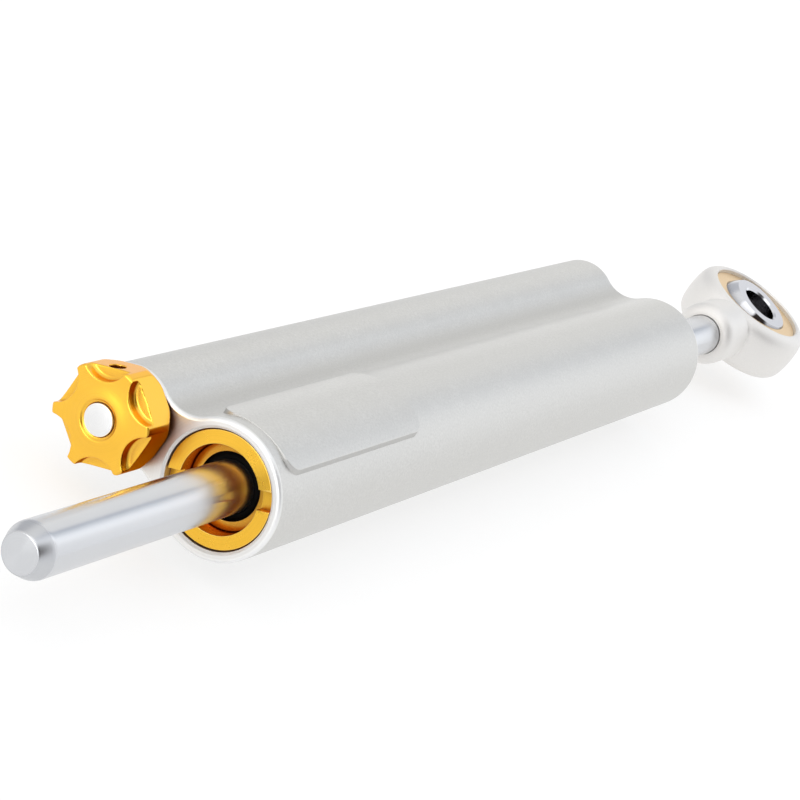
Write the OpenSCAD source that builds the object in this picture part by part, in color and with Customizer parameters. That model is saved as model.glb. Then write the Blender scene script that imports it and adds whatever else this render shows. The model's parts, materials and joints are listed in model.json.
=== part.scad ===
// Through-rod steering damper: a two-bore housing with a plated rod, an adjuster knob on
// the small tube and a spherical rod end on the far end of the rod. Millimetres.
// Origin on the main bore's axis at mid-housing. +X runs from the knob end to the rod end,
// +Y towards the small tube, and +Z up through the raised panel.

/* [Housing] */
// Length of the housing
body_len = 203; // [198:1:240]
// Bore that the seal heads sit in
head_bore_d = 22.4; // [22:0.1:25]
// Wall round the seal head bore
main_wall = 2; // [1.6:0.1:4]
// Bore of the oil chamber
chamber_d = 20; // [19:0.1:20.6]
// Bore of the small tube at both ends
small_bore_d = 13; // [12.8:0.1:15]
// Wall of the small tube
small_wall = 2.5; // [1.6:0.1:5]
// Oil gallery between the two ends of the small tube
gallery_d = 11; // [8:0.1:11.6]
// Radius of the fillets between the tubes
web_fillet_r = 8; // [5:0.5:14]
// Chamfer round both ends of the housing
edge_chamfer = 0.8; // [0.3:0.1:1.2]
// Chamfer at the mouths of the bores
mouth_chamfer = 0.5; // [0.2:0.1:0.7]
// Diameter of the oil ports between the bores
port_d = 3; // [2:0.1:4]

/* [Raised panel] */
// Length of the panel along the tube
panel_len = 51; // [30:1:80]
// Width of the panel across the tube
panel_w = 17.4; // [10:0.1:20]
// Distance from the front end to the panel
panel_start = 3.6; // [2:0.1:12]
// Height of the panel above the tube
panel_rise = 0.5; // [0.3:0.1:1]
// Corner radius of the panel
panel_corner_r = 3; // [1:0.5:5]

/* [Lock rings] */
// Depth of the ring below the housing's end
ring_recess = 0.8; // [0.3:0.05:1.5]
// Length of the ring
ring_len = 6; // [4.5:0.1:8]
// Width of a pin-spanner slot
spanner_slot_w = 3.7; // [2:0.1:5]
// Depth of a pin-spanner slot
spanner_slot_depth = 1.6; // [0.8:0.1:2.5]
// Direction of the slots, from +Y towards +Z
spanner_slot_turn = 152.6; // [0:0.1:180]
// Chamfer on the ring's outer edge
ring_chamfer = 0.3; // [0.1:0.05:0.6]

/* [Seal heads] */
// Depth of the head's nose below the ring's face
nose_depth = 3; // [1:0.1:3.5]
// Recess round the rod in the nose
nose_gap = 1.35; // [0.8:0.05:1.8]
// Wall of the nose
nose_wall = 1.9; // [1.4:0.05:2.2]
// Depth of the recess ahead of the wiper
nose_bore_len = 2; // [1:0.1:3]
// Radial depth of the wiper's groove
wiper_section = 2.4; // [2:0.1:2.6]
// Radial depth of the rod seal's groove
seal_section = 3; // [2.4:0.1:3.4]
// Length of the wiper and of the rod seal
seal_len = 4; // [3:0.1:4.5]
// Length of the lands between them
land_len = 2; // [1.5:0.1:3]
// Wall of the rod bush
bush_wall = 1.5; // [1:0.1:2]
// Length of the rod bush
bush_len = 20; // [12:0.5:20]
// Length of the skirt in the oil chamber
skirt_len = 6; // [5.6:0.1:7]
// Gap between the skirt and the chamber's wall
skirt_gap = 0.6; // [0.4:0.05:1]
// Width of the oil slots in the skirt
skirt_slot_w = 4; // [2:0.1:5]

/* [Rod and piston] */
// Rod diameter
rod_d = 10; // [9:0.1:10.6]
// Rod tip ahead of the housing, at rest
rod_reach = 59.2; // [58:0.1:80]
// Rod between the housing and the rod end, at rest
rod_exposed = 36; // [34:1:50]
// Full stroke of the rod
stroke = 90; // [60:1:90]
// Length of the chamfer on the rod's tip
tip_chamfer_len = 2.8; // [1:0.1:5]
// Depth of the chamfer on the rod's tip
tip_chamfer_depth = 1.35; // [0.5:0.05:2]
// Length of the piston
piston_len = 20; // [16:0.5:20]
// Width of the piston's band
band_w = 8; // [5:0.5:10]
// Thickness of the piston's band
band_t = 0.9; // [0.6:0.1:1.2]
// Thickness of a piston retaining ring
snap_ring_t = 1.1; // [0.8:0.1:1.5]
// Bite of a retaining ring into the rod
snap_ring_bite = 0.6; // [0.4:0.05:0.8]
// Height of a retaining ring above the rod
snap_ring_rise = 1.6; // [1:0.1:2]
// Opening of a retaining ring
snap_ring_opening = 4; // [2:0.5:6]

/* [Rod end] */
// Bore of the ball
eye_bore_d = 10; // [8:0.1:12]
// Ball diameter
ball_d = 22.2; // [21:0.1:23]
// Width of the ball
ball_w = 15; // [14.4:0.1:16]
// Outer diameter of the race
race_d = 26; // [25.4:0.1:26.2]
// Width of the race
race_w = 12; // [9:0.1:12.6]
// Outer diameter of the eye
eye_d = 33.4; // [31.8:0.1:36]
// Width of the eye
eye_w = 14.6; // [13.8:0.1:14.8]
// Rounding of the eye's rims
eye_round = 4; // [0.5:0.1:4.4]
// Radius of the crowned side of the eye, in section
eye_crown_r = 24; // [14:1:60]
// Turn of the eye about the rod, at rest
eye_turn = 4.7; // [-30:0.1:30]
// Turn of the ball about the rod, at rest
ball_turn = 12; // [-15:0.5:20]
// Diameter of the neck
neck_d = 16; // [14:0.1:17]
// Distance from the neck's end to the eye's centre
neck_reach = 29.5; // [29:0.5:40]
// Rounding of the neck's end
neck_round = 2.8; // [0.5:0.1:2.9]
// Thread that joins the rod to the neck
rod_thread_d = 8; // [6:0.5:8.5]
// Length of that thread
rod_thread_len = 13; // [8:0.5:14]

/* [Adjuster knob] */
// Diameter over the teeth
knob_d = 20.6; // [19.6:0.1:24]
// Distance across the flats
knob_flats = 18.4; // [16.6:0.1:18.6]
// Length of the knob
knob_len = 9; // [8.6:0.1:14]
// Gap between the knob and the housing
knob_gap = 0.55; // [0.3:0.05:1]
// Radius of the finger scallops
scallop_r = 5; // [4:0.1:5.4]
// Distance of the scallops' centres from the axis
scallop_reach = 12; // [11.6:0.1:13]
// Depth of the scallops from the knob's face
scallop_depth = 2.7; // [1:0.1:3]
// Direction of the flat with the set screw, from +Y towards +Z
knob_turn = 64; // [0:1:180]
// Radius of the shallow recess round the spindle
knob_recess_r = 4.3; // [3.8:0.1:5]
// Depth of that recess
knob_recess_depth = 0.4; // [0.2:0.1:1]
// Chamfer on the front of the teeth
knob_chamfer = 0.6; // [0.2:0.05:0.8]
// Diameter of the knob's back end
knob_back_d = 18.7; // [17:0.1:19.4]
// Length of the taper to the back end
knob_taper_len = 1.8; // [0.5:0.1:3]
// Set screw diameter
set_screw_d = 3; // [2:0.1:3.4]
// Set screw length
set_screw_len = 4.2; // [3:0.1:4.6]

/* [Adjuster] */
// Spindle diameter
spindle_d = 6.1; // [5.6:0.1:6.6]
// Spindle flange diameter
flange_d = 10.1; // [9:0.1:10.2]
// Spindle flange thickness
flange_t = 2; // [1.5:0.1:3]
// Size across the flats of the spindle's drive
drive_flats = 3; // [2:0.1:3.2]
// Length of the drive
drive_len = 10; // [8:0.5:10.5]
// Length of the plug's nose ahead of the flange
plug_nose_len = 9; // [8:0.1:10]
// Length of the plug
plug_len = 30; // [28:0.5:32]
// Length of the threaded guide in the plug
guide_len = 10; // [6:0.5:12]
// Needle thread diameter
needle_d = 6; // [5.4:0.1:6.4]
// Needle stem diameter
needle_stem_d = 4.8; // [4:0.1:5.2]
// Length of the needle's thread
needle_thread_len = 19; // [18:0.5:20]
// Length of the needle's stem
needle_stem_len = 12; // [11:0.5:12.5]
// Length of the needle's tip
needle_tip_len = 5.5; // [4:0.1:6]
// Diameter of the needle's end
needle_end_d = 1.2; // [0.8:0.1:1.4]
// Orifice of the valve seat
orifice_d = 3.2; // [3:0.1:4]
// Length of the valve seat
seat_len = 7; // [5:0.5:8]
// Detent ball diameter
detent_d = 2.5; // [2:0.1:2.6]
// Distance of the detent from the spindle's axis
detent_reach = 4.95; // [4.8:0.05:5]
// Number of detents in a turn
detent_count = 16; // [8:1:20]
// Depth of the detent's hole in the knob
detent_hole_depth = 5.5; // [4.5:0.1:5.6]
// Wire of the detent spring
detent_wire_d = 0.35; // [0.2:0.05:0.4]

/* [Compensator] */
// Length of the compensator piston
comp_len = 8; // [7:0.5:9]
// Depth of the spring's pocket in the piston
comp_pocket_depth = 3; // [2:0.5:3.5]
// Travel of the piston each way
comp_travel = 3; // [1:0.5:3]
// Length of the rear plug
rear_plug_len = 8.4; // [7:0.1:10]
// Hexagon socket of the rear plug, across flats
rear_socket_flats = 5; // [4:0.5:6]
// Depth of that socket
rear_socket_depth = 4; // [2:0.5:4.5]
// Length of the compensator spring at rest
comp_spring_len = 22; // [16:0.5:26]
// Diameter over the spring
comp_spring_d = 9.4; // [7:0.1:9.6]
// Wire of the spring
comp_wire_d = 1; // [0.6:0.1:1.2]
// Turns of the spring
comp_turns = 6; // [4:1:8]

/* [Fits] */
// Radial clearance of a running fit
run_clear = 0.05; // [0.02:0.01:0.08]
// Radial clearance of a piece seated in its bore
seat_clear = 0.05; // [0.02:0.01:0.1]
// Gap between faces that pass each other
face_gap = 0.15; // [0.1:0.05:0.3]
// Section of the O-rings
o_ring_d = 1.5; // [1.2:0.05:1.6]

/* [Hidden] */
$fn = 96;

// Colours as the photograph shows them
satin_silver = [0.82, 0.82, 0.81];
gold = [0.93, 0.70, 0.20];
plated = [0.86, 0.87, 0.90];
satin_nickel = [0.85, 0.84, 0.81];
pale_gold = [0.90, 0.78, 0.56];
black_rubber = [0.06, 0.06, 0.06];
bronze = [0.62, 0.48, 0.30];
steel = [0.66, 0.67, 0.68];
white_ptfe = [0.90, 0.90, 0.87];

// Overshoot of a cut past the face that it opens
cut = 1;
// Room on each side of an O-ring in its groove
groove_room = 0.3;
// Corner radius of a hexagon from its size across the flats
function hex_corner(flats) = flats / 2 / cos(30);

// Housing
half_len = body_len / 2;
head_bore_r = head_bore_d / 2;
main_r = head_bore_r + main_wall;
chamber_r = chamber_d / 2;
small_bore_r = small_bore_d / 2;
small_r = small_bore_r + small_wall;
gallery_r = gallery_d / 2;
// The two tubes meet along one line, and the fillets touch both of them
tube_spacing = main_r + small_r;
fillet_to_main = main_r + web_fillet_r;
fillet_to_small = small_r + web_fillet_r;
fillet_y = (fillet_to_main ^ 2 - fillet_to_small ^ 2 + tube_spacing ^ 2) / (2 * tube_spacing);
fillet_z = sqrt(fillet_to_main ^ 2 - fillet_y ^ 2);
// The web laps the tubes by this much where the fillets run out
fillet_lap = 0.01;

// Distances below are depths from the front end, turned into X by front()
function front(depth) = depth - half_len;

// Stroke and rest position of the rod
rod_r = rod_d / 2;
rod_margin = (rod_reach + rod_exposed - stroke) / 2;
travel_forward = rod_exposed - rod_margin;
travel_back = rod_reach - rod_margin;
piston_x = (travel_forward - travel_back) / 2;
tip_x = -half_len - rod_reach;
neck_x = half_len + rod_exposed;
eye_x = neck_x + neck_reach;

// Seal head stack
stop_gap = 0.5;
piston_stack_len = piston_len + 2 * (seat_clear + snap_ring_t);
head_end = half_len - (stroke + piston_stack_len) / 2 - stop_gap;
shoulder = head_end - skirt_len;
ring_back = ring_recess + ring_len;
nose_face = ring_recess + nose_depth;
nose_bore_r = rod_r + nose_gap;
nose_r = nose_bore_r + nose_wall;
head_r = head_bore_r - seat_clear;
land_gap = 0.3;
land_r = rod_r + land_gap;
wiper_start = nose_face + nose_bore_len;
wiper_end = wiper_start + seal_len;
seal_start = wiper_end + land_len;
seal_end = seal_start + seal_len;
bush_start = seal_end + land_len;
bush_r = rod_r + bush_wall;
wiper_lip_len = 1.2;
wiper_lip_t = 0.6;
seal_lip_depth = 1.6;
seal_lip_t = 0.7;
skirt_r = chamber_r - skirt_gap;
skirt_slot_depth = skirt_len / 2;
head_oring_depth = (bush_start + shoulder) / 2;
port_depth = shoulder + skirt_len / 2;

// Piston stack
piston_gap = 0.3;
piston_r = chamber_r - piston_gap;
band_r = chamber_r - run_clear;
band_inner_r = band_r - band_t;
energiser_r = band_inner_r - run_clear;
energiser_d = 1.6;
band_floor_r = energiser_r - energiser_d - seat_clear;

// Rod end
ball_r = ball_d / 2;
race_r = race_d / 2;
eye_r = eye_d / 2;
// Centres of the crown and of the rim roundings that touch it, in section
crown_centre_r = eye_r - eye_crown_r;
rim_centre_z = eye_w / 2 - eye_round;
rim_centre_r = crown_centre_r + sqrt((eye_crown_r - eye_round) ^ 2 - rim_centre_z ^ 2);
// The crown meets the rims at this distance from the middle
crown_half_w = rim_centre_z * eye_crown_r / (eye_crown_r - eye_round);
neck_r = neck_d / 2;
thread_runout = 1;
thread_hole_len = rod_thread_len + thread_runout;
// The neck runs into the eye and narrows below the eye's faces
neck_end = eye_x - eye_r;
neck_inner_r = eye_w / 2 - eye_round / 2;

// Adjuster
spindle_r = spindle_d / 2;
spindle_bore_r = spindle_r + run_clear;
flange_r = flange_d / 2;
plug_r = small_bore_r - seat_clear;
plug_inner_r = flange_r + 2 * run_clear;
knob_back = -knob_gap;
knob_front = knob_back - knob_len;
knob_mid = (knob_back + knob_front) / 2;
flange_start = plug_nose_len + run_clear;
flange_end = flange_start + flange_t;
drive_r = hex_corner(drive_flats);
socket_r = drive_r + 2 * run_clear;
needle_r = needle_d / 2;
// The drive reaches across this gap into the needle's socket, which is longer by some room
needle_gap = 4;
socket_room = 3;
needle_start = flange_end + needle_gap;
socket_len = drive_len - needle_gap + socket_room;
needle_thread_end = needle_start + needle_thread_len;
needle_stem_end = needle_thread_end + needle_stem_len;
needle_end = needle_stem_end + needle_tip_len;
// The tip enters the orifice by this much at rest
tip_entry = 1.5;
seat_start = needle_end - tip_entry;
seat_end = seat_start + seat_len;
seat_relief_r = 3;
seat_relief_len = seat_len / 2;
plug_oring_depth = plug_nose_len / 2;
spindle_oring_d = 1.3;
spindle_oring_depth = plug_nose_len / 2;
detent_r = detent_d / 2;
detent_x = -face_gap - detent_r;
dimple_depth = 0.3;
detent_spring_d = detent_d - 4 * seat_clear;
detent_turns = 4;
set_screw_r = set_screw_d / 2;
set_screw_socket_r = 0.9;
set_screw_start = spindle_r + seat_clear;

// Compensator, from the rear end inwards
comp_spring_seat = body_len - ring_recess - rear_plug_len;
comp_start = comp_spring_seat - comp_spring_len - (comp_len - comp_pocket_depth);
comp_bore_start = comp_start - comp_travel - cut;
comp_r = small_bore_r - run_clear;
spring_room = 0.3;
comp_pocket_r = comp_spring_d / 2 + spring_room;
comp_oring_depth = comp_start + (comp_len - comp_pocket_depth) / 2;
// Land between the socket's floor and the O-ring groove
socket_land = 0.5;
rear_socket_floor = comp_spring_seat + rear_plug_len - rear_socket_depth;
rear_plug_oring_depth = rear_socket_floor - socket_land - o_ring_d / 2 - groove_room;

// Springs are swept with this many rings in a turn and sides to the wire
coil_rings = 8;
coil_sides = 6;

// A solid turned about a line along X; points are [radius, x]
module turned(profile, axis_y = 0)
    translate([0, axis_y, 0]) rotate([0, 90, 0]) rotate_extrude() polygon(profile);

// A plain sleeve between two depths from the front end
module sleeve(inner_r, outer_r, from, to, axis_y = 0)
    turned([[inner_r, front(from)], [outer_r, front(from)], [outer_r, front(to)], [inner_r, front(to)]],
        axis_y);

// An O-ring that seals against a bore, and the groove that it lies in
module o_ring(bore_r, depth, axis_y = 0, clear = seat_clear, section = o_ring_d)
    translate([front(depth), axis_y, 0]) rotate([0, 90, 0]) rotate_extrude()
        translate([bore_r - clear - section / 2, 0]) circle(d = section);

module o_ring_groove(bore_r, depth, axis_y = 0, clear = seat_clear, section = o_ring_d)
    sleeve(bore_r - clear - section - seat_clear, bore_r + cut,
        depth - section / 2 - groove_room, depth + section / 2 + groove_room, axis_y);

// What is at the front end is repeated at the rear end
module at_rear() mirror([1, 0, 0]) children();

// A hexagonal bar along X
module hex_bar(corner_r, from, to)
    translate([front(from), 0, 0]) rotate([0, 90, 0]) cylinder(r = corner_r, h = to - from, $fn = 6);

// A round wire wound about the X axis
module coil_spring(length, outer_d, wire_d, turns) {
    rings = turns * coil_rings;
    mean_r = (outer_d - wire_d) / 2;
    wire_points = [
        for (k = [0:rings])
            let (turn = 360 * k / coil_rings, x = wire_d / 2 + (length - wire_d) * k / rings)
                for (s = [0:coil_sides - 1])
                    let (side = 360 * s / coil_sides, r = mean_r + wire_d / 2 * cos(side))
                        [x + wire_d / 2 * sin(side), r * cos(turn), r * sin(turn)]
    ];
    side_faces = [
        for (k = [0:rings - 1])
            for (s = [0:coil_sides - 1])
                let (a = k * coil_sides + s, b = k * coil_sides + (s + 1) % coil_sides)
                    for (face = [[a, b, b + coil_sides], [a, b + coil_sides, a + coil_sides]]) face
    ];
    last = rings * coil_sides;
    end_faces = [
        for (s = [1:coil_sides - 2])
            for (face = [[0, s + 1, s], [last, last + s, last + s + 1]]) face
    ];
    polyhedron(points = wire_points, faces = concat(side_faces, end_faces));
}

// Housing

module housing_tube(r, axis_y)
    turned([
        [0, -half_len], [r - edge_chamfer, -half_len], [r, edge_chamfer - half_len],
        [r, half_len - edge_chamfer], [r - edge_chamfer, half_len], [0, half_len]
    ], axis_y);

// The cutter that leaves a fillet with the same end chamfer as the tubes
module fillet_cutter(r)
    turned([
        [0, -half_len - cut], [r + edge_chamfer + cut, -half_len - cut], [r, edge_chamfer - half_len],
        [r, half_len - edge_chamfer], [r + edge_chamfer + cut, half_len + cut], [0, half_len + cut]
    ], fillet_y);

module web() difference() {
    rotate([0, 90, 0]) translate([0, 0, -half_len]) linear_extrude(body_len)
        polygon([[0, 0], [fillet_z, fillet_y], [0, tube_spacing], [-fillet_z, fillet_y]]);
    for (side = [-1, 1])
        translate([0, 0, side * fillet_z]) fillet_cutter(web_fillet_r - fillet_lap);
}

module panel_outline() {
    straight_w = panel_w - 2 * panel_corner_r;
    straight_len = panel_len - 2 * panel_corner_r;
    translate([0, -straight_w / 2]) square([panel_len, straight_w]);
    translate([panel_corner_r, -panel_w / 2]) square([straight_len, panel_w]);
    for (x = [panel_corner_r, panel_len - panel_corner_r])
        for (y = [-straight_w / 2, straight_w / 2])
            translate([x, y]) circle(r = panel_corner_r);
}

module raised_panel() intersection() {
    translate([front(panel_start), 0, 0]) linear_extrude(main_r + panel_rise + cut) panel_outline();
    sleeve(main_r - main_wall / 2, main_r + panel_rise, panel_start - cut, panel_start + panel_len + cut);
}

// A straight bore from the front end with a chamfered mouth
module mouth_bore(r, depth, axis_y)
    turned([
        [0, -half_len - cut], [r + mouth_chamfer + cut, -half_len - cut], [r, mouth_chamfer - half_len],
        [r, front(depth)], [0, front(depth)]
    ], axis_y);

module oil_port(depth)
    translate([front(depth), 0, 0]) rotate([-90, 0, 0]) cylinder(d = port_d, h = tube_spacing);

module body_housing() color(satin_silver) difference() {
    union() {
        housing_tube(main_r, 0);
        housing_tube(small_r, tube_spacing);
        web();
        raised_panel();
    }
    sleeve(0, chamber_r, -cut, body_len + cut);
    mouth_bore(head_bore_r, shoulder, 0);
    at_rear() mouth_bore(head_bore_r, shoulder, 0);
    sleeve(0, gallery_r, -cut, body_len + cut, tube_spacing);
    mouth_bore(small_bore_r, seat_end, tube_spacing);
    at_rear() mouth_bore(small_bore_r, body_len - comp_bore_start, tube_spacing);
    oil_port(port_depth);
    oil_port(body_len - port_depth);
}

// Seal head stack, at the front end and mirrored at the rear end

module lock_ring() color(gold) difference() {
    turned([
        [nose_r + seat_clear, front(ring_recess)], [head_r - ring_chamfer, front(ring_recess)],
        [head_r, front(ring_recess + ring_chamfer)], [head_r, front(ring_back)],
        [nose_r + seat_clear, front(ring_back)]
    ]);
    rotate([spanner_slot_turn, 0, 0])
        translate([front(ring_recess) - cut, -head_bore_r - cut, -spanner_slot_w / 2])
            cube([spanner_slot_depth + cut, 2 * (head_bore_r + cut), spanner_slot_w]);
}

module seal_head() color(gold) difference() {
    turned([
        [nose_bore_r, front(nose_face)], [nose_r, front(nose_face)], [nose_r, front(ring_back)],
        [head_r, front(ring_back)], [head_r, front(shoulder)], [skirt_r, front(shoulder)],
        [skirt_r, front(head_end)], [bush_r + seat_clear, front(head_end)],
        [bush_r + seat_clear, front(bush_start)], [land_r, front(bush_start)],
        [land_r, front(seal_end)], [rod_r + seal_section, front(seal_end)],
        [rod_r + seal_section, front(seal_start)], [land_r, front(seal_start)],
        [land_r, front(wiper_end)], [rod_r + wiper_section, front(wiper_end)],
        [rod_r + wiper_section, front(wiper_start)], [nose_bore_r, front(wiper_start)]
    ]);
    o_ring_groove(head_bore_r, head_oring_depth);
    for (turn = [0, 90])
        rotate([turn, 0, 0])
            translate([front(head_end) - skirt_slot_depth, -chamber_r - cut, -skirt_slot_w / 2])
                cube([skirt_slot_depth + cut, 2 * (chamber_r + cut), skirt_slot_w]);
}

module wiper() color(black_rubber) turned([
    [rod_r + run_clear, front(wiper_start - wiper_lip_len)],
    [rod_r + wiper_lip_t, front(wiper_start - wiper_lip_len)],
    [rod_r + nose_gap - seat_clear, front(wiper_start + seat_clear)],
    [rod_r + wiper_section - seat_clear, front(wiper_start + seat_clear)],
    [rod_r + wiper_section - seat_clear, front(wiper_end - seat_clear)],
    [rod_r + run_clear, front(wiper_end - seat_clear)]
]);

module rod_seal() color(black_rubber) turned([
    [rod_r + run_clear, front(seal_start + seat_clear)],
    [rod_r + seal_section - seat_clear, front(seal_start + seat_clear)],
    [rod_r + seal_section - seat_clear, front(seal_end - seat_clear)],
    [rod_r + seal_section - seal_lip_t, front(seal_end - seat_clear)],
    [rod_r + seal_section / 2, front(seal_end - seal_lip_depth)],
    [rod_r + seal_lip_t, front(seal_end - seat_clear)],
    [rod_r + run_clear, front(seal_end - seat_clear)]
]);

module rod_bush() color(bronze) sleeve(rod_r + run_clear, bush_r, bush_start, bush_start + bush_len);

module head_oring() color(black_rubber) o_ring(head_bore_r, head_oring_depth);

module front_lock_ring() lock_ring();
module front_seal_head() seal_head();
module front_wiper() wiper();
module front_rod_seal() rod_seal();
module front_rod_bush() rod_bush();
module front_head_oring() head_oring();
module rear_lock_ring() at_rear() lock_ring();
module rear_seal_head() at_rear() seal_head();
module rear_wiper() at_rear() wiper();
module rear_rod_seal() at_rear() rod_seal();
module rear_rod_bush() at_rear() rod_bush();
module rear_head_oring() at_rear() head_oring();

// Rod and piston

// The two grooves in the rod, or the two rings in them, with room on each side of a ring
module snap_rings(inner_r, outer_r, room)
    for (side = [-1, 1])
        translate([piston_x + side * (piston_len + snap_ring_t + 2 * seat_clear) / 2, 0, 0])
            rotate([0, 90, 0]) difference() {
                cylinder(r = outer_r, h = snap_ring_t + 2 * room, center = true);
                cylinder(r = inner_r, h = snap_ring_t + 2 * room + cut, center = true);
            }

module piston_rod() color(plated) difference() {
    turned([
        [0, tip_x], [rod_r - tip_chamfer_depth, tip_x], [rod_r, tip_x + tip_chamfer_len],
        [rod_r, neck_x], [rod_thread_d / 2, neck_x], [rod_thread_d / 2, neck_x + rod_thread_len],
        [0, neck_x + rod_thread_len]
    ]);
    snap_rings(rod_r - snap_ring_bite, rod_r + cut, seat_clear / 2);
}

module piston() color(steel) turned([
    [rod_r + seat_clear, piston_x - piston_len / 2], [piston_r, piston_x - piston_len / 2],
    [piston_r, piston_x - band_w / 2 - run_clear], [band_floor_r, piston_x - band_w / 2 - run_clear],
    [band_floor_r, piston_x + band_w / 2 + run_clear], [piston_r, piston_x + band_w / 2 + run_clear],
    [piston_r, piston_x + piston_len / 2], [rod_r + seat_clear, piston_x + piston_len / 2]
]);

module piston_retaining_rings() color(steel) difference() {
    snap_rings(rod_r - snap_ring_bite + seat_clear, rod_r + snap_ring_rise, 0);
    translate([piston_x - piston_len, -snap_ring_opening / 2, 0])
        cube([2 * piston_len, snap_ring_opening, chamber_r]);
}

module piston_band() color(white_ptfe) turned([
    [band_inner_r, piston_x - band_w / 2], [band_r, piston_x - band_w / 2],
    [band_r, piston_x + band_w / 2], [band_inner_r, piston_x + band_w / 2]
]);

module piston_energiser() color(black_rubber)
    translate([piston_x, 0, 0]) rotate([0, 90, 0]) rotate_extrude()
        translate([energiser_r - energiser_d / 2, 0]) circle(d = energiser_d);

// Rod end

module at_eye(turn = eye_turn) translate([eye_x, 0, 0]) rotate([turn, 0, 0]) children();

// Half of the eye's section, with a crowned side and round rims
module eye_section() {
    translate([0, -eye_w / 2]) square([rim_centre_r, eye_w]);
    intersection() {
        translate([0, -crown_half_w]) square([eye_r, 2 * crown_half_w]);
        translate([crown_centre_r, 0]) circle(r = eye_crown_r);
    }
    for (side = [-1, 1])
        translate([rim_centre_r, side * rim_centre_z]) circle(r = eye_round);
}

// Half of the neck's section, with a round end
module neck_section() {
    translate([0, neck_x]) square([neck_r - neck_round, neck_end - neck_x]);
    translate([0, neck_x + neck_round]) square([neck_r, neck_end - neck_x - neck_round]);
    translate([neck_r - neck_round, neck_x + neck_round]) circle(r = neck_round);
}

module rod_end_housing() color(satin_nickel) difference() {
    union() {
        rotate([0, 90, 0]) rotate_extrude() neck_section();
        turned([[0, neck_end - cut], [neck_r, neck_end], [neck_inner_r, eye_x - race_r], [0, eye_x - race_r]]);
        at_eye() rotate_extrude() eye_section();
    }
    at_eye() cylinder(r = race_r, h = neck_d + eye_w, center = true);
    translate([neck_x - cut, 0, 0]) rotate([0, 90, 0])
        cylinder(r = rod_thread_d / 2 + seat_clear, h = thread_hole_len + cut);
}

module rod_end_race() color(pale_gold) at_eye() difference() {
    cylinder(r = race_r - seat_clear, h = race_w, center = true);
    sphere(r = ball_r + run_clear);
}

module rod_end_ball() color(plated) at_eye(ball_turn) difference() {
    intersection() {
        sphere(r = ball_r);
        cylinder(r = ball_d, h = ball_w, center = true);
    }
    cylinder(d = eye_bore_d, h = ball_w + cut, center = true);
}

// Adjuster, on the small tube's axis

module at_small_tube() translate([0, tube_spacing, 0]) children();
module at_knob() at_small_tube() rotate([knob_turn, 0, 0]) children();

module knob_blank() intersection() {
    turned([
        [0, front(knob_front)], [knob_d / 2 - knob_chamfer, front(knob_front)],
        [knob_d / 2, front(knob_front + knob_chamfer)], [knob_d / 2, front(knob_back - knob_taper_len)],
        [knob_back_d / 2, front(knob_back)], [0, front(knob_back)]
    ]);
    hex_bar(hex_corner(knob_flats), knob_front - cut, knob_back + cut);
}

module adjuster_knob() color(gold) at_knob() difference() {
    knob_blank();
    for (turn = [0:60:300])
        rotate([turn, 0, 0]) translate([front(knob_front) - cut, scallop_reach, 0])
            rotate([0, 90, 0]) cylinder(r = scallop_r, h = scallop_depth + cut);
    sleeve(0, knob_recess_r, knob_front - cut, knob_front + knob_recess_depth);
    sleeve(0, spindle_r + seat_clear, knob_front - cut, knob_back + cut);
    translate([front(knob_mid), 0, 0]) rotate([-90, 0, 0])
        cylinder(r = set_screw_r + seat_clear, h = knob_d);
    translate([0, -detent_reach, 0])
        sleeve(0, detent_r + seat_clear, knob_back - detent_hole_depth, knob_back + cut);
}

module knob_set_screw() color(steel) at_knob() translate([front(knob_mid), set_screw_start, 0])
    rotate([-90, 0, 0]) difference() {
        cylinder(r = set_screw_r, h = set_screw_len);
        translate([0, 0, set_screw_len / 2]) cylinder(r = set_screw_socket_r, h = set_screw_len, $fn = 6);
    }

module adjuster_spindle() color(plated) at_knob() union() {
    difference() {
        sleeve(0, spindle_r, knob_front, flange_start + cut / 2);
        o_ring_groove(spindle_bore_r, spindle_oring_depth, 0, run_clear, spindle_oring_d);
    }
    sleeve(0, flange_r, flange_start, flange_end);
    hex_bar(drive_r, flange_end - cut / 2, flange_end + drive_len);
}

module spindle_oring() color(black_rubber) at_knob()
    o_ring(spindle_bore_r, spindle_oring_depth, 0, run_clear, spindle_oring_d);

module detent_ball() color(steel) at_knob() translate([front(detent_x), -detent_reach, 0]) sphere(r = detent_r);

module detent_spring() color(steel) at_knob()
    translate([front(knob_back - detent_hole_depth + seat_clear), -detent_reach, 0])
        coil_spring(detent_hole_depth + knob_gap - face_gap - detent_d - 2 * seat_clear,
            detent_spring_d, detent_wire_d, detent_turns);

module adjuster_plug() color(steel) at_small_tube() difference() {
    sleeve(spindle_bore_r, plug_r, 0, plug_len);
    sleeve(0, plug_inner_r, plug_nose_len, plug_len + cut);
    o_ring_groove(small_bore_r, plug_oring_depth);
    for (k = [0:detent_count - 1])
        rotate([knob_turn + 360 * k / detent_count, 0, 0])
            translate([front(dimple_depth - detent_r), -detent_reach, 0]) sphere(r = detent_r);
}

module plug_oring() color(black_rubber) at_small_tube() o_ring(small_bore_r, plug_oring_depth);

module needle_guide() color(bronze)
    sleeve(needle_r + run_clear, plug_inner_r - seat_clear, plug_len - guide_len, plug_len, tube_spacing);

module metering_needle() color(steel) at_knob() difference() {
    turned([
        [0, front(needle_start)], [needle_r, front(needle_start)], [needle_r, front(needle_thread_end)],
        [needle_stem_d / 2, front(needle_thread_end)], [needle_stem_d / 2, front(needle_stem_end)],
        [needle_end_d / 2, front(needle_end)], [0, front(needle_end)]
    ]);
    hex_bar(socket_r, needle_start - cut, needle_start + socket_len);
}

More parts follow.
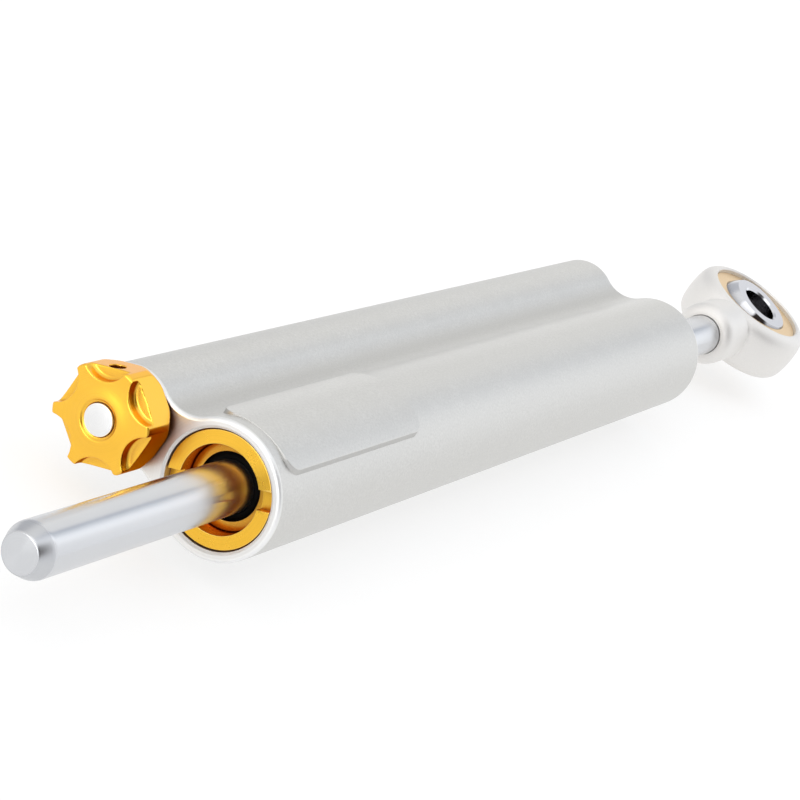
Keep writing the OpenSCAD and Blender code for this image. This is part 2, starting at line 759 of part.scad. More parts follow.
module valve_seat() color(bronze) turned([
    [orifice_d / 2, front(seat_start)], [plug_r, front(seat_start)], [plug_r, front(seat_end)],
    [seat_relief_r, front(seat_end)], [seat_relief_r, front(seat_end - seat_relief_len)],
    [orifice_d / 2, front(seat_end - seat_relief_len)]
], tube_spacing);

// Compensator, in the rear end of the small tube

module compensator_piston() color(steel) difference() {
    sleeve(0, comp_r, comp_start, comp_start + comp_len, tube_spacing);
    sleeve(0, comp_pocket_r, comp_start + comp_len - comp_pocket_depth, comp_start + comp_len + cut,
        tube_spacing);
    o_ring_groove(small_bore_r, comp_oring_depth, tube_spacing, run_clear);
}

module compensator_oring() color(black_rubber) o_ring(small_bore_r, comp_oring_depth, tube_spacing, run_clear);

module compensator_spring() color(steel)
    translate([front(comp_spring_seat - comp_spring_len + seat_clear), tube_spacing, 0])
        coil_spring(comp_spring_len - 2 * seat_clear, comp_spring_d, comp_wire_d, comp_turns);

module rear_plug() color(steel) at_small_tube() difference() {
    sleeve(0, plug_r, comp_spring_seat, comp_spring_seat + rear_plug_len);
    o_ring_groove(small_bore_r, rear_plug_oring_depth);
    hex_bar(hex_corner(rear_socket_flats), rear_socket_floor, comp_spring_seat + rear_plug_len + cut);
}

module rear_plug_oring() color(black_rubber) at_small_tube() o_ring(small_bore_r, rear_plug_oring_depth);

body_housing();
front_lock_ring();
front_seal_head();
front_wiper();
front_rod_seal();
front_rod_bush();
front_head_oring();
rear_lock_ring();
rear_seal_head();
rear_wiper();
rear_rod_seal();
rear_rod_bush();
rear_head_oring();
piston_rod();
piston();
piston_retaining_rings();
piston_band();
piston_energiser();
rod_end_housing();
rod_end_race();
rod_end_ball();
adjuster_knob();
knob_set_screw();
adjuster_spindle();
spindle_oring();
detent_ball();
detent_spring();
adjuster_plug();
plug_oring();
needle_guide();
metering_needle();
valve_seat();
compensator_piston();
compensator_oring();
compensator_spring();
rear_plug();
rear_plug_oring();
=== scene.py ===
# %% [markdown]
# A steering damper, dressed for its portrait. The construction model comes in as a fixed frame:
# every solid is already at its real size and place, in metres. In this lesson we model the pieces
# that show, give each one its finish, and light the whole as a small studio would.

# %% Load the frame
import json
import math

import bmesh
import bpy
from mathutils import Matrix, Vector


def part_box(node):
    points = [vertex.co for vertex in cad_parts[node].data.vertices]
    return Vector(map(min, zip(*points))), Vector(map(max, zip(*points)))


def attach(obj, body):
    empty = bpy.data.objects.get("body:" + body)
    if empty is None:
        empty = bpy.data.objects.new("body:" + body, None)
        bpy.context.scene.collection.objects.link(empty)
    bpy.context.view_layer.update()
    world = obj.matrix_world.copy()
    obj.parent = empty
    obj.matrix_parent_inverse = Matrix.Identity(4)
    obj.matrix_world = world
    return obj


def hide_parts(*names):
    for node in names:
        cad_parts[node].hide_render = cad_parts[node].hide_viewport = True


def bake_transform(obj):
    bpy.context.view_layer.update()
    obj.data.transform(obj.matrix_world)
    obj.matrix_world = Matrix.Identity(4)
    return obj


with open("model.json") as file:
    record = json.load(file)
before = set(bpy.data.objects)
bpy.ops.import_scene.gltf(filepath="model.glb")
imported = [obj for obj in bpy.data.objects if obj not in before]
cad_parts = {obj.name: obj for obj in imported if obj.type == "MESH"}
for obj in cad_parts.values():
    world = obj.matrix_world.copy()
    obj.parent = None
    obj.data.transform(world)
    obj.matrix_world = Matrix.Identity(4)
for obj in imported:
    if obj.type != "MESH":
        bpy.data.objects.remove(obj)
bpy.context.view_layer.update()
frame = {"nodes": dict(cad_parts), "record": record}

# %% [markdown]
# A maker thinks of this object in millimetres and in depths below the housing's front end, so we
# keep both: MM turns a drawing size into metres, and front() turns a depth into a place along X.
# Two places closer than TOUCHING, in metres, count as one.

# %% Drawing sizes
MM = 0.001
TOUCHING = 1e-7
HALF_LENGTH = 101.5
MAIN_RADIUS = 13.2
SMALL_RADIUS = 9.0
SMALL_AXIS = 22.2
ROD_RADIUS = 5.0


def front(depth):
    return depth - HALF_LENGTH


def shift(x=0.0, y=0.0, z=0.0):
    return Matrix.Translation((x * MM, y * MM, z * MM))


def turn_about(axis, degrees):
    return Matrix.Rotation(math.radians(degrees), 4, axis)


at_small_tube = shift(y=SMALL_AXIS)
housing_low, housing_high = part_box("body_housing")
print("housing length mm", (housing_high.x - housing_low.x) / MM)

# %% [markdown]
# The photograph was taken with a long lens from beyond the rod's tip, a little above the object,
# and the camera was rolled. Place and angles were found by matching the drawn edges to the picture.

# %% Camera
CAMERA_PLACE = (-494.08, -146.40, 209.04)
CAMERA_ANGLES = (63.400, -30.473, -57.816)
camera_data = bpy.data.cameras.new("portrait_camera")
camera = bpy.data.objects.new("portrait_camera", camera_data)
bpy.context.scene.collection.objects.link(camera)
camera.location = Vector(CAMERA_PLACE) * MM
camera.rotation_euler = [math.radians(angle) for angle in CAMERA_ANGLES]
camera_data.sensor_width = 36.0
camera_data.lens = 118.876
camera_data.clip_start = 0.01
bpy.context.scene.camera = camera
bpy.context.scene.view_settings.view_transform = "Standard"
print("camera", tuple(camera.location), "lens", camera_data.lens)

# %% [markdown]
# Light and finishes are both node trees, so a few helpers come first. One joins sockets, one adds a
# node with its operation, one adds a Map Range with its limits, and one mixes two colours. A Mix
# node keeps its sockets for numbers, vectors and colours side by side, so the colour sockets are
# taken by their place in the list.

# %% Helpers for node trees
MIX_FACTOR, MIX_FIRST, MIX_SECOND, MIX_RESULT = 0, 6, 7, 2


def wire(tree, *links):
    """Join sockets; each link is a node, its output, the next node and its input."""
    for source, output, target, entry in links:
        tree.links.new(source.outputs[output], target.inputs[entry])


def add_math(tree, kind, operation):
    node = tree.nodes.new(kind)
    node.operation = operation
    return node


def add_range(tree, low=0.0, high=1.0, to_low=0.0, to_high=1.0, smooth=False):
    node = tree.nodes.new("ShaderNodeMapRange")
    if smooth:
        node.interpolation_type = "SMOOTHSTEP"
    limits = {"From Min": low, "From Max": high, "To Min": to_low, "To Max": to_high}
    for label, value in limits.items():
        node.inputs[label].default_value = value
    return node


def mix_colour(tree, factor, first, second, how="MIX"):
    """Mix two colours by a mask; each colour is a tuple or an output to link."""
    mix = tree.nodes.new("ShaderNodeMix")
    mix.data_type = "RGBA"
    mix.blend_type = how
    tree.links.new(factor, mix.inputs[MIX_FACTOR])
    for place, value in ((MIX_FIRST, first), (MIX_SECOND, second)):
        if isinstance(value, tuple):
            mix.inputs[place].default_value = (*value, 1.0)
        else:
            tree.links.new(value, mix.inputs[place])
    return mix.outputs[MIX_RESULT]


print("node helpers ready")

# %% [markdown]
# Product pictures like this one are made in a white tent: light comes from everywhere, and the
# only structure is the seam between the light panels overhead. Polished metal mirrors that seam as
# a grey line beside a bright band. A world with a colour ramp across Y gives exactly that, without
# noise, while the camera itself sees plain white. A few round patches are laid over the ramp: a dark
# card beside the camera, which polished curves need for contrast, a greyer side and two soft lamps.

# %% Studio world
world = bpy.data.worlds.new("white_tent")
bpy.context.scene.world = world
world.use_nodes = True
tent = world.node_tree
tent.nodes.clear()
tent_direction = tent.nodes.new("ShaderNodeTexCoord")
tent_split = tent.nodes.new("ShaderNodeSeparateXYZ")
tent_across = add_range(tent, -1.0, 1.0)
tent_panels = tent.nodes.new("ShaderNodeValToRGB")
wire(tent,
     (tent_direction, "Generated", tent_split, "Vector"),
     (tent_split, "Y", tent_across, "Value"),
     (tent_across, "Result", tent_panels, "Fac"))
panel_stops = [
    (-1.0, (1.0, 1.01, 1.03)), (-0.50, (1.12, 1.13, 1.15)), (-0.37, (1.40, 1.42, 1.45)),
    (-0.26, (1.32, 1.35, 1.40)), (-0.14, (0.97, 1.01, 1.07)), (-0.02, (0.68, 0.72, 0.79)),
    (0.06, (0.94, 0.95, 0.98)), (0.12, (1.05, 1.05, 1.05)), (0.42, (1.09, 1.09, 1.08)),
    (1.0, (1.0, 0.99, 0.98)),
]
ramp = tent_panels.color_ramp
while len(ramp.elements) < len(panel_stops):
    ramp.elements.new(0.5)
for element, (across, colour) in zip(ramp.elements, panel_stops):
    element.position = (across + 1.0) / 2.0
for element, (across, colour) in zip(ramp.elements, panel_stops):
    element.color = (*colour, 1.0)
print("world panels", len(ramp.elements))


# %% Studio world: card and lamps
def world_patch(below, direction, edge_degrees, core_degrees, colour):
    """Lay a round patch of another brightness over the world, round one direction."""
    facing = add_math(tent, "ShaderNodeVectorMath", "DOT_PRODUCT")
    facing.inputs[1].default_value = Vector(direction).normalized()
    edge = math.cos(math.radians(edge_degrees))
    core = math.cos(math.radians(core_degrees))
    spread = add_range(tent, edge, core, smooth=True)
    wire(tent, (tent_direction, "Generated", facing, 0), (facing, "Value", spread, "Value"))
    return mix_colour(tent, spread.outputs["Result"], below, colour)


patches = [
    ("card beside the camera", (-0.42, -0.68, 0.59), 35.0, 17.0, (0.05, 0.04, 0.036)),
    ("grey side wall", (0.40, 0.85, 0.32), 36.0, 14.0, (0.70, 0.71, 0.74)),
    ("lamp overhead", (-0.52, -0.03, 0.85), 26.0, 16.0, (1.7, 1.7, 1.7)),
    ("lamp in front", (-0.985, 0.13, 0.07), 24.0, 8.0, (5.0, 5.0, 4.9)),
]
tent_colour = tent_panels.outputs["Color"]
for label, *patch in patches:
    tent_colour = world_patch(tent_colour, *patch)
    print("world patch", label)
tent_light = tent.nodes.new("ShaderNodeBackground")
tent_backdrop = tent.nodes.new("ShaderNodeBackground")
tent_backdrop.inputs["Color"].default_value = (1.0, 1.0, 1.0, 1.0)
tent_path = tent.nodes.new("ShaderNodeLightPath")
tent_mix = tent.nodes.new("ShaderNodeMixShader")
tent_out = tent.nodes.new("ShaderNodeOutputWorld")
tent.links.new(tent_colour, tent_light.inputs["Color"])
wire(tent,
     (tent_path, "Is Camera Ray", tent_mix, "Fac"),
     (tent_light, "Background", tent_mix, 1),
     (tent_backdrop, "Background", tent_mix, 2),
     (tent_mix, "Shader", tent_out, "Surface"))
print("world nodes", len(tent.nodes))

# %% [markdown]
# Every new piece starts from a primitive that is all selected, among solids that are selected too.
# So each step first lets go of everything, and then picks faces, edges or corners in code, by
# where they are. A finished piece has its place in its mesh, and settle() moves it there.

# %% Helpers for modelling
SMOOTH_ANGLE = 40.0


def let_go():
    if bpy.context.mode != "OBJECT":
        bpy.ops.object.mode_set(mode="OBJECT")
    bpy.ops.object.select_all(action="DESELECT")


def take(piece):
    let_go()
    piece.select_set(True)
    bpy.context.view_layer.objects.active = piece


def named(name):
    """Name the piece that was just added, and its mesh."""
    piece = bpy.context.object
    piece.name = name
    piece.data.name = name
    return piece


def settle(piece, matrix=None):
    take(piece)
    if matrix is not None:
        piece.matrix_world = matrix
    bpy.ops.object.transform_apply(location=True, rotation=True, scale=True)


def pick(piece, kind, test):
    """In edit mode, select only the corners, edges or faces that pass a test."""
    bpy.ops.mesh.select_mode(type=kind)
    bpy.ops.mesh.select_all(action="DESELECT")
    mesh = bmesh.from_edit_mesh(piece.data)
    parts = {"VERT": mesh.verts, "EDGE": mesh.edges, "FACE": mesh.faces}[kind]
    picked = [part for part in parts if test(part)]
    for part in picked:
        part.select_set(True)
    mesh.select_flush_mode()
    bmesh.update_edit_mesh(piece.data)
    return len(picked)


def face_outwards():
    bpy.ops.mesh.select_all(action="SELECT")
    bpy.ops.mesh.normals_make_consistent(inside=False)


def extrude_all(offset):
    bpy.ops.mesh.select_all(action="SELECT")
    bpy.ops.mesh.extrude_region_move(TRANSFORM_OT_translate={"value": offset})
    face_outwards()


let_go()
print("selected", len(bpy.context.selected_objects))


# %% Helpers for modifiers
def apply_modifier(piece, kind, **settings):
    take(piece)
    modifier = piece.modifiers.new(kind.lower(), kind)
    for name, value in settings.items():
        setattr(modifier, name, value)
    bpy.ops.object.modifier_apply(modifier=modifier.name)


def combine(piece, operation, *others):
    for other in others:
        apply_modifier(piece, "BOOLEAN", operation=operation, object=other, solver="EXACT")
        bpy.data.objects.remove(other)


def cut_away(piece, *cutters):
    combine(piece, "DIFFERENCE", *cutters)


def soften(piece, width, angle=SMOOTH_ANGLE):
    """Bevel every edge that turns by more than an angle."""
    apply_modifier(piece, "BEVEL", width=width * MM, segments=2, limit_method="ANGLE",
                   angle_limit=math.radians(angle))


def melt(piece, voxel, rounds):
    """Fuse all shells of a piece into one skin, and round its edges."""
    apply_modifier(piece, "REMESH", mode="VOXEL", voxel_size=voxel * MM)
    apply_modifier(piece, "SMOOTH", factor=0.5, iterations=rounds)


print("modelling helpers ready")

# %% [markdown]
# A pale floor lies just below the lowest reach of the rod end as it rolls, so that no pose dips
# into it. It starts as a plane and is subdivided once, and it is stage, not part of the object. A
# little light of its own keeps the shadow as thin as on a lit table.

# %% Floor
FLOOR_HEIGHT = -16.9
FLOOR_SIZE = 8.0
FLOOR_GLOW = 0.675
let_go()
bpy.ops.mesh.primitive_plane_add(size=FLOOR_SIZE, location=(0.0, 0.0, FLOOR_HEIGHT * MM))
floor = named("pale_floor")
bpy.ops.object.mode_set(mode="EDIT")
bpy.ops.mesh.subdivide(number_cuts=3)
bpy.ops.object.mode_set(mode="OBJECT")
floor_material = bpy.data.materials.new("pale_floor")
floor_material.use_nodes = True
floor_shader = floor_material.node_tree.nodes["Principled BSDF"]
floor_shader.inputs["Base Color"].default_value = (0.36, 0.36, 0.358, 1.0)
floor_shader.inputs["Emission Color"].default_value = (1.0, 1.0, 1.0, 1.0)
floor_shader.inputs["Emission Strength"].default_value = FLOOR_GLOW
floor_shader.inputs["Roughness"].default_value = 0.9
floor_shader.inputs["Specular IOR Level"].default_value = 0.0
floor.data.materials.append(floor_material)
print("floor at mm", FLOOR_HEIGHT)

# %% [markdown]
# Most of this object comes off a lathe. A lathe piece is drawn as half of its section, a closed
# outline of places along the axis and radii, and then spun. The outline starts as a circle with
# one corner for each point; a third number on a point rounds that corner with a vertex bevel.

# %% Helpers for turned pieces
ROUND_STEPS = 192
SMALL_STEPS = 128
CUTTER_STEPS = 96


def turned(name, section, steps=ROUND_STEPS, segments=4, at=None):
    let_go()
    bpy.ops.mesh.primitive_circle_add(vertices=len(section), radius=MM, fill_type="NOTHING")
    piece = named(name)
    for vertex, point in zip(piece.data.vertices, section):
        vertex.co = (point[0] * MM, 0.0, point[1] * MM)
    bpy.ops.object.mode_set(mode="EDIT")
    corners = [point for point in section if len(point) > 2]
    for size in sorted({corner[2] for corner in corners}):
        places = [Vector((c[0] * MM, 0.0, c[1] * MM)) for c in corners if c[2] == size]
        pick(piece, "VERT", lambda v: any((v.co - place).length < TOUCHING for place in places))
        bpy.ops.mesh.bevel(offset=size * MM, segments=segments, affect="VERTICES")
    bpy.ops.mesh.select_all(action="SELECT")
    bpy.ops.mesh.spin(steps=steps, angle=math.tau, center=(0, 0, 0), axis=(1, 0, 0))
    bpy.ops.mesh.select_all(action="SELECT")
    bpy.ops.mesh.remove_doubles(threshold=TOUCHING)
    bpy.ops.mesh.delete_loose()
    face_outwards()
    bpy.ops.object.mode_set(mode="OBJECT")
    if at is not None:
        settle(piece, at)
    return piece


def groove(start, end, bottom, wall):
    """The four corners of a groove in a section, from one wall to the other."""
    return [(start, wall), (start, bottom), (end, bottom), (end, wall)]


print("turned pieces are spun about X in", ROUND_STEPS, "steps")

# %% [markdown]
# The housing is one aluminium extrusion: a main tube, a smaller tube beside it and a web whose
# fillets touch both. Its outline is four arcs. A circle is reshaped to them, filled, extruded
# along X, and its two end rims are rounded with a bevel.

# %% Housing: outline
WEB_FILLET = 8.0
MAIN_ARC_STEPS = 220
SMALL_ARC_STEPS = 140
FILLET_STEPS = 36
to_main = MAIN_RADIUS + WEB_FILLET
to_small = SMALL_RADIUS + WEB_FILLET
fillet_y = (to_main ** 2 - to_small ** 2 + SMALL_AXIS ** 2) / (2 * SMALL_AXIS)
fillet_z = math.sqrt(to_main ** 2 - fillet_y ** 2)
main_touch = math.atan2(fillet_z, fillet_y)
small_touch = math.atan2(fillet_z, fillet_y - SMALL_AXIS)


def arc(centre_y, centre_z, radius, start, end, steps):
    angles = [start + (end - start) * k / steps for k in range(steps)]
    return [(centre_y + radius * math.cos(a), centre_z + radius * math.sin(a)) for a in angles]


outline = arc(0.0, 0.0, MAIN_RADIUS, main_touch, math.tau - main_touch, MAIN_ARC_STEPS)
outline += arc(fillet_y, -fillet_z, WEB_FILLET, math.pi - main_touch, math.pi - small_touch,
               FILLET_STEPS)
outline += arc(SMALL_AXIS, 0.0, SMALL_RADIUS, -small_touch, small_touch, SMALL_ARC_STEPS)
outline += arc(fillet_y, fillet_z, WEB_FILLET, small_touch - math.pi, main_touch - math.pi,
               FILLET_STEPS)
print("outline corners", len(outline))

# %% Housing: extrusion
RIM_ROUND = 0.8
let_go()
bpy.ops.mesh.primitive_circle_add(vertices=len(outline), radius=MM, fill_type="NGON")
housing = named("housing_shell")
for vertex, (y, z) in zip(housing.data.vertices, outline):
    vertex.co = (-HALF_LENGTH * MM, y * MM, z * MM)
bpy.ops.object.mode_set(mode="EDIT")
extrude_all((2 * HALF_LENGTH * MM, 0.0, 0.0))


def on_end_plane(edge):
    ends = [abs(abs(v.co.x) - HALF_LENGTH * MM) < TOUCHING for v in edge.verts]
    return all(ends) and abs(edge.verts[0].co.x - edge.verts[1].co.x) < TOUCHING


rim_edges = pick(housing, "EDGE", on_end_plane)
bpy.ops.mesh.bevel(offset=RIM_ROUND * MM, segments=4, affect="EDGES")
bpy.ops.object.mode_set(mode="OBJECT")
print("rim edges", rim_edges)

# %% [markdown]
# On top of the main tube stands a raised panel with round corners. It is easiest to make flat: a
# plane with bevelled corners, extruded, with a softened top edge. Cross cuts by bisect let it bend,
# and then it is lowered towards its long edges along a crown that is flatter than the tube, so its
# middle is nearly flush and its long edges stand clear. Its walls stay upright, as a cutter leaves
# them, and it is joined to the tube.

# %% Housing: raised panel
PANEL_LENGTH = 51.0
PANEL_WIDTH = 18.0
PANEL_START = 3.6
PANEL_RISE = 0.15
PANEL_SINK = 1.55
PANEL_CROWN = 18.3
PANEL_CORNER = 3.0
PANEL_EDGE = 0.14
PANEL_CUTS = 30
let_go()
panel_middle = front(PANEL_START + PANEL_LENGTH / 2)
panel_foot = (MAIN_RADIUS - PANEL_SINK) * MM
panel_top = (MAIN_RADIUS + PANEL_RISE) * MM
bpy.ops.mesh.primitive_plane_add(size=1.0, location=(panel_middle * MM, 0.0, panel_foot))
panel = named("raised_panel")
panel.scale = (PANEL_LENGTH * MM, PANEL_WIDTH * MM, 1.0)
settle(panel)
bpy.ops.object.mode_set(mode="EDIT")
bpy.ops.mesh.select_all(action="SELECT")
bpy.ops.mesh.bevel(offset=PANEL_CORNER * MM, segments=12, affect="VERTICES")
extrude_all((0.0, 0.0, (PANEL_RISE + PANEL_SINK) * MM))
top_edges = pick(panel, "EDGE", lambda e: all(abs(v.co.z - panel_top) < TOUCHING for v in e.verts))
bpy.ops.mesh.bevel(offset=PANEL_EDGE * MM, segments=3, affect="EDGES")
for k in range(1, PANEL_CUTS):
    bpy.ops.mesh.select_all(action="SELECT")
    cut_y = PANEL_WIDTH * (k / PANEL_CUTS - 0.5) * MM
    bpy.ops.mesh.bisect(plane_co=(0.0, cut_y, 0.0), plane_no=(0.0, 1.0, 0.0))
bpy.ops.object.mode_set(mode="OBJECT")
for vertex in panel.data.vertices:
    across = vertex.co.y / MM
    vertex.co.z += (math.sqrt(PANEL_CROWN ** 2 - across ** 2) - PANEL_CROWN) * MM
combine(housing, "UNION", panel)
print("panel edges softened", top_edges, "housing faces", len(housing.data.polygons))

# %% [markdown]
# The bores are cut with turned cutters. Each has the whole profile of its bore, from mouth to
# mouth, with the small chamfer that a boring tool leaves at the ends. A cutter reaches OVER past
# the faces that it cuts, so that no two faces lie on each other.

# %% Housing: bores
HEAD_BORE = 11.2
CHAMBER = 10.0
SMALL_BORE = 6.5
GALLERY = 5.5
GALLERY_START = 57.05
GALLERY_END = 162.8
MOUTH = 0.5
SHOULDER = 38.85
OVER = 1.0


def bore_section(mouth_radius, front_end, middle_radius, rear_end):
    wide = mouth_radius + MOUTH + OVER
    return [
        (-HALF_LENGTH - OVER, 0.0), (-HALF_LENGTH - OVER, wide), (-HALF_LENGTH + MOUTH, mouth_radius),
        (front_end, mouth_radius), (front_end, middle_radius), (rear_end, middle_radius),
        (rear_end, mouth_radius), (HALF_LENGTH - MOUTH, mouth_radius), (HALF_LENGTH + OVER, wide),
        (HALF_LENGTH + OVER, 0.0),
    ]


main_section = bore_section(HEAD_BORE, front(SHOULDER), CHAMBER, -front(SHOULDER))
small_section = bore_section(SMALL_BORE, front(GALLERY_START), GALLERY, front(GALLERY_END))
main_bore = turned("main_bore", main_section)
small_bore = turned("small_bore", small_section, steps=SMALL_STEPS, at=at_small_tube)
cut_away(housing, main_bore, small_bore)
print("housing faces after boring", len(housing.data.polygons))

# %% [markdown]
# A thin bright line on every edge is what makes metal look machined. Such an edge is a narrow strip
# of faces that turns away from its neighbours along both long sides. Marking those faces in a face
# attribute lets the materials rub the edges a little brighter later. A test can leave some out.

# %% Finishing helper
STRIP_WIDTH = 0.35
STRIP_TURN = 8.0
STRIP_SHARE = 0.45
END_REACH = 1.0
pieces = {}


def is_edge_strip(face):
    lengths = [e.calc_length() for e in face.edges]
    sharp = math.radians(STRIP_TURN)
    turning = [e.calc_length() for e in face.edges if e.calc_face_angle(0.0) > sharp]
    narrow = face.calc_area() < STRIP_WIDTH * MM * max(lengths)
    return narrow and sum(turning) > STRIP_SHARE * sum(lengths)


def finish(piece, body, nodes, smooth=SMOOTH_ANGLE, rubbed=lambda face: True):
    mesh = bmesh.new()
    mesh.from_mesh(piece.data)
    edge_band = mesh.faces.layers.float.new("edge_band")
    strips = [face for face in mesh.faces if is_edge_strip(face) and rubbed(face)]
    for face in strips:
        face[edge_band] = 1.0
    mesh.to_mesh(piece.data)
    mesh.free()
    take(piece)
    bpy.ops.object.shade_smooth_by_angle(angle=math.radians(smooth))
    apply_modifier(piece, "WEIGHTED_NORMAL", keep_sharp=True)
    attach(piece, body)
    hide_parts(*nodes)
    pieces[piece.name] = piece
    print(piece.name, "faces", len(piece.data.polygons), "edge faces", len(strips))


def at_housing_end(face):
    return abs(face.calc_center_median().x) > (HALF_LENGTH - END_REACH) * MM


finish(housing, "barrel", ["body_housing"], rubbed=at_housing_end)

# %% [markdown]
# A gold lock ring screws into each mouth of the main bore. It is a turned ring whose front stands
# a little clear of the bore, which shows as a dark line, and two slots across its face take a pin
# spanner. The slots are one long block, cut through and then softened with a bevel. The rear ring
# is the same piece, copied and mirrored.

# %% Helpers for copies and blocks
def mirrored_copy(piece, name):
    take(piece)
    bpy.ops.object.duplicate(linked=False)
    copy = named(name)
    copy.scale.x = -1.0
    settle(copy)
    bpy.ops.object.mode_set(mode="EDIT")
    face_outwards()
    bpy.ops.object.mode_set(mode="OBJECT")
    return copy


def block(name, low, high, turn=0.0):
    """A box between two corners in mm, turned about X by some degrees."""
    let_go()
    bpy.ops.mesh.primitive_cube_add(size=1.0)
    piece = named(name)
    size = Vector(high) - Vector(low)
    middle = (Vector(high) + Vector(low)) / 2
    stretch = Matrix.Diagonal((size.x * MM, size.y * MM, size.z * MM, 1.0))
    settle(piece, turn_about("X", turn) @ (Matrix.Translation(middle * MM) @ stretch))
    return piece


print("copies and blocks ready")

# %% Lock rings
RING_RECESS = 0.8
RING_BACK = 6.8
RING_OUTER = 11.15
RELIEF_RADIUS = RING_OUTER - 0.2
RELIEF_END = 2.2
NOSE_RADIUS = 8.25
RING_BORE = NOSE_RADIUS + 0.05
SLOT_HALF = 1.85
SLOT_DEPTH = 1.6
SLOT_REACH = 14.0
SLOT_TURN = 152.6
RING_EDGE = 0.1
front_ring = turned("front_ring", [
    (front(RING_RECESS), RING_BORE, 0.12), (front(RING_RECESS), RELIEF_RADIUS, 0.15),
    (front(RELIEF_END), RELIEF_RADIUS), (front(RELIEF_END), RING_OUTER),
    (front(RING_BACK), RING_OUTER), (front(RING_BACK), RING_BORE),
])
slot_block = block("slot_block", (front(RING_RECESS) - OVER, -SLOT_REACH, -SLOT_HALF),
                   (front(RING_RECESS) + SLOT_DEPTH, SLOT_REACH, SLOT_HALF), SLOT_TURN)
cut_away(front_ring, slot_block)
soften(front_ring, RING_EDGE)
rear_ring = mirrored_copy(front_ring, "rear_ring")
finish(front_ring, "barrel", ["front_lock_ring"])
finish(rear_ring, "barrel", ["rear_lock_ring"])

# %% [markdown]
# Behind the ring sits the gold seal head. Only its nose shows, as a ledge round the rod, but the
# whole head is turned here with its grooves for wiper, seal, bush and O-ring, and two crossed oil
# slots are cut into its inner end. The black wiper lip sits deep in the nose. The far end has the
# same head and wiper, mirrored.

# %% Seal head
NOSE_FRONT = 4.6
NOSE_BORE = 6.35
WIPER_FRONT, WIPER_BACK, WIPER_SEAT = 5.8, 9.8, 7.4
SEAL_FRONT, SEAL_BACK, SEAL_SEAT = 11.8, 15.8, 8.0
BUSH_FRONT, BUSH_SEAT = 17.8, 6.55
ORING_FRONT, ORING_BACK, ORING_SEAT = 27.275, 29.375, 9.6
HEAD_END, SPIGOT_RADIUS = 44.85, 9.4
ROD_CLEARANCE = 5.3
OIL_SLOT_START, OIL_SLOT_END = 41.85, 46.0
OIL_SLOT_HALF, OIL_SLOT_REACH = 2.0, 12.0
head_section = [
    (front(NOSE_FRONT), NOSE_BORE, 0.15), (front(NOSE_FRONT), NOSE_RADIUS, 0.25),
    (front(RING_BACK), NOSE_RADIUS), (front(RING_BACK), RING_OUTER),
]
head_section += groove(front(ORING_FRONT), front(ORING_BACK), ORING_SEAT, RING_OUTER)
head_section += [
    (front(SHOULDER), RING_OUTER), (front(SHOULDER), SPIGOT_RADIUS), (front(HEAD_END), SPIGOT_RADIUS),
    (front(HEAD_END), BUSH_SEAT), (front(BUSH_FRONT), BUSH_SEAT), (front(BUSH_FRONT), ROD_CLEARANCE),
]
head_section += groove(front(SEAL_BACK), front(SEAL_FRONT), SEAL_SEAT, ROD_CLEARANCE)
head_section += [
    (front(WIPER_BACK), ROD_CLEARANCE), (front(WIPER_BACK), WIPER_SEAT),
    (front(WIPER_FRONT), WIPER_SEAT), (front(WIPER_FRONT), NOSE_BORE),
]
front_head = turned("front_head", head_section)
for turn in (0.0, 90.0):
    oil_slot = block("oil_slot", (front(OIL_SLOT_START), -OIL_SLOT_REACH, -OIL_SLOT_HALF),
                     (front(OIL_SLOT_END), OIL_SLOT_REACH, OIL_SLOT_HALF), turn)
    cut_away(front_head, oil_slot)
print("seal head faces", len(front_head.data.polygons))

# %% Wipers, and the far end
LIP_FRONT, LIP_EDGE, LIP_END = 5.0, 5.85, 9.75
LIP_BORE, LIP_CREST, LIP_FOOT, LIP_OUTER = 5.05, 5.6, 6.3, 7.35
front_lip = turned("front_lip", [
    (front(LIP_FRONT), LIP_BORE, 0.1), (front(LIP_FRONT), LIP_CREST, 0.25),
    (front(LIP_EDGE), LIP_FOOT, 0.2), (front(LIP_EDGE), LIP_OUTER),
    (front(LIP_END), LIP_OUTER), (front(LIP_END), LIP_BORE),
])
rear_head = mirrored_copy(front_head, "rear_head")
rear_lip = mirrored_copy(front_lip, "rear_lip")
finish(front_head, "barrel", ["front_seal_head"])
finish(rear_head, "barrel", ["rear_seal_head"])
finish(front_lip, "barrel", ["front_wiper"])
finish(rear_lip, "barrel", ["rear_wiper"])

# %% [markdown]
# The rod runs right through the damper. Its tip has a long chamfer, its middle has two grooves for
# the piston's rings, and its far end steps down to a thread inside the rod end.

# %% Rod
TIP = -160.7
TIP_CHAMFER_LENGTH, TIP_CHAMFER_DEPTH = 2.8, 1.35
NECK_START = 137.5
SHANK_CHAMFER = 0.3
THREAD_RADIUS, THREAD_LENGTH = 4.0, 13.0
RING_GROOVES = (-22.2, -1.0)
GROOVE_HALF, GROOVE_FLOOR = 0.575, 4.4
ROD_STEPS = 256
rod_section = [
    (TIP, 0.0), (TIP, ROD_RADIUS - TIP_CHAMFER_DEPTH, 0.3), (TIP + TIP_CHAMFER_LENGTH, ROD_RADIUS, 0.6),
]
for middle in RING_GROOVES:
    rod_section += groove(middle - GROOVE_HALF, middle + GROOVE_HALF, GROOVE_FLOOR, ROD_RADIUS)
rod_section += [
    (NECK_START - SHANK_CHAMFER, ROD_RADIUS, 0.1), (NECK_START, ROD_RADIUS - SHANK_CHAMFER),
    (NECK_START, THREAD_RADIUS), (NECK_START + THREAD_LENGTH, THREAD_RADIUS),
    (NECK_START + THREAD_LENGTH, 0.0),
]
rod = turned("plated_through_rod", rod_section, steps=ROD_STEPS)
finish(rod, "rod", ["piston_rod"])

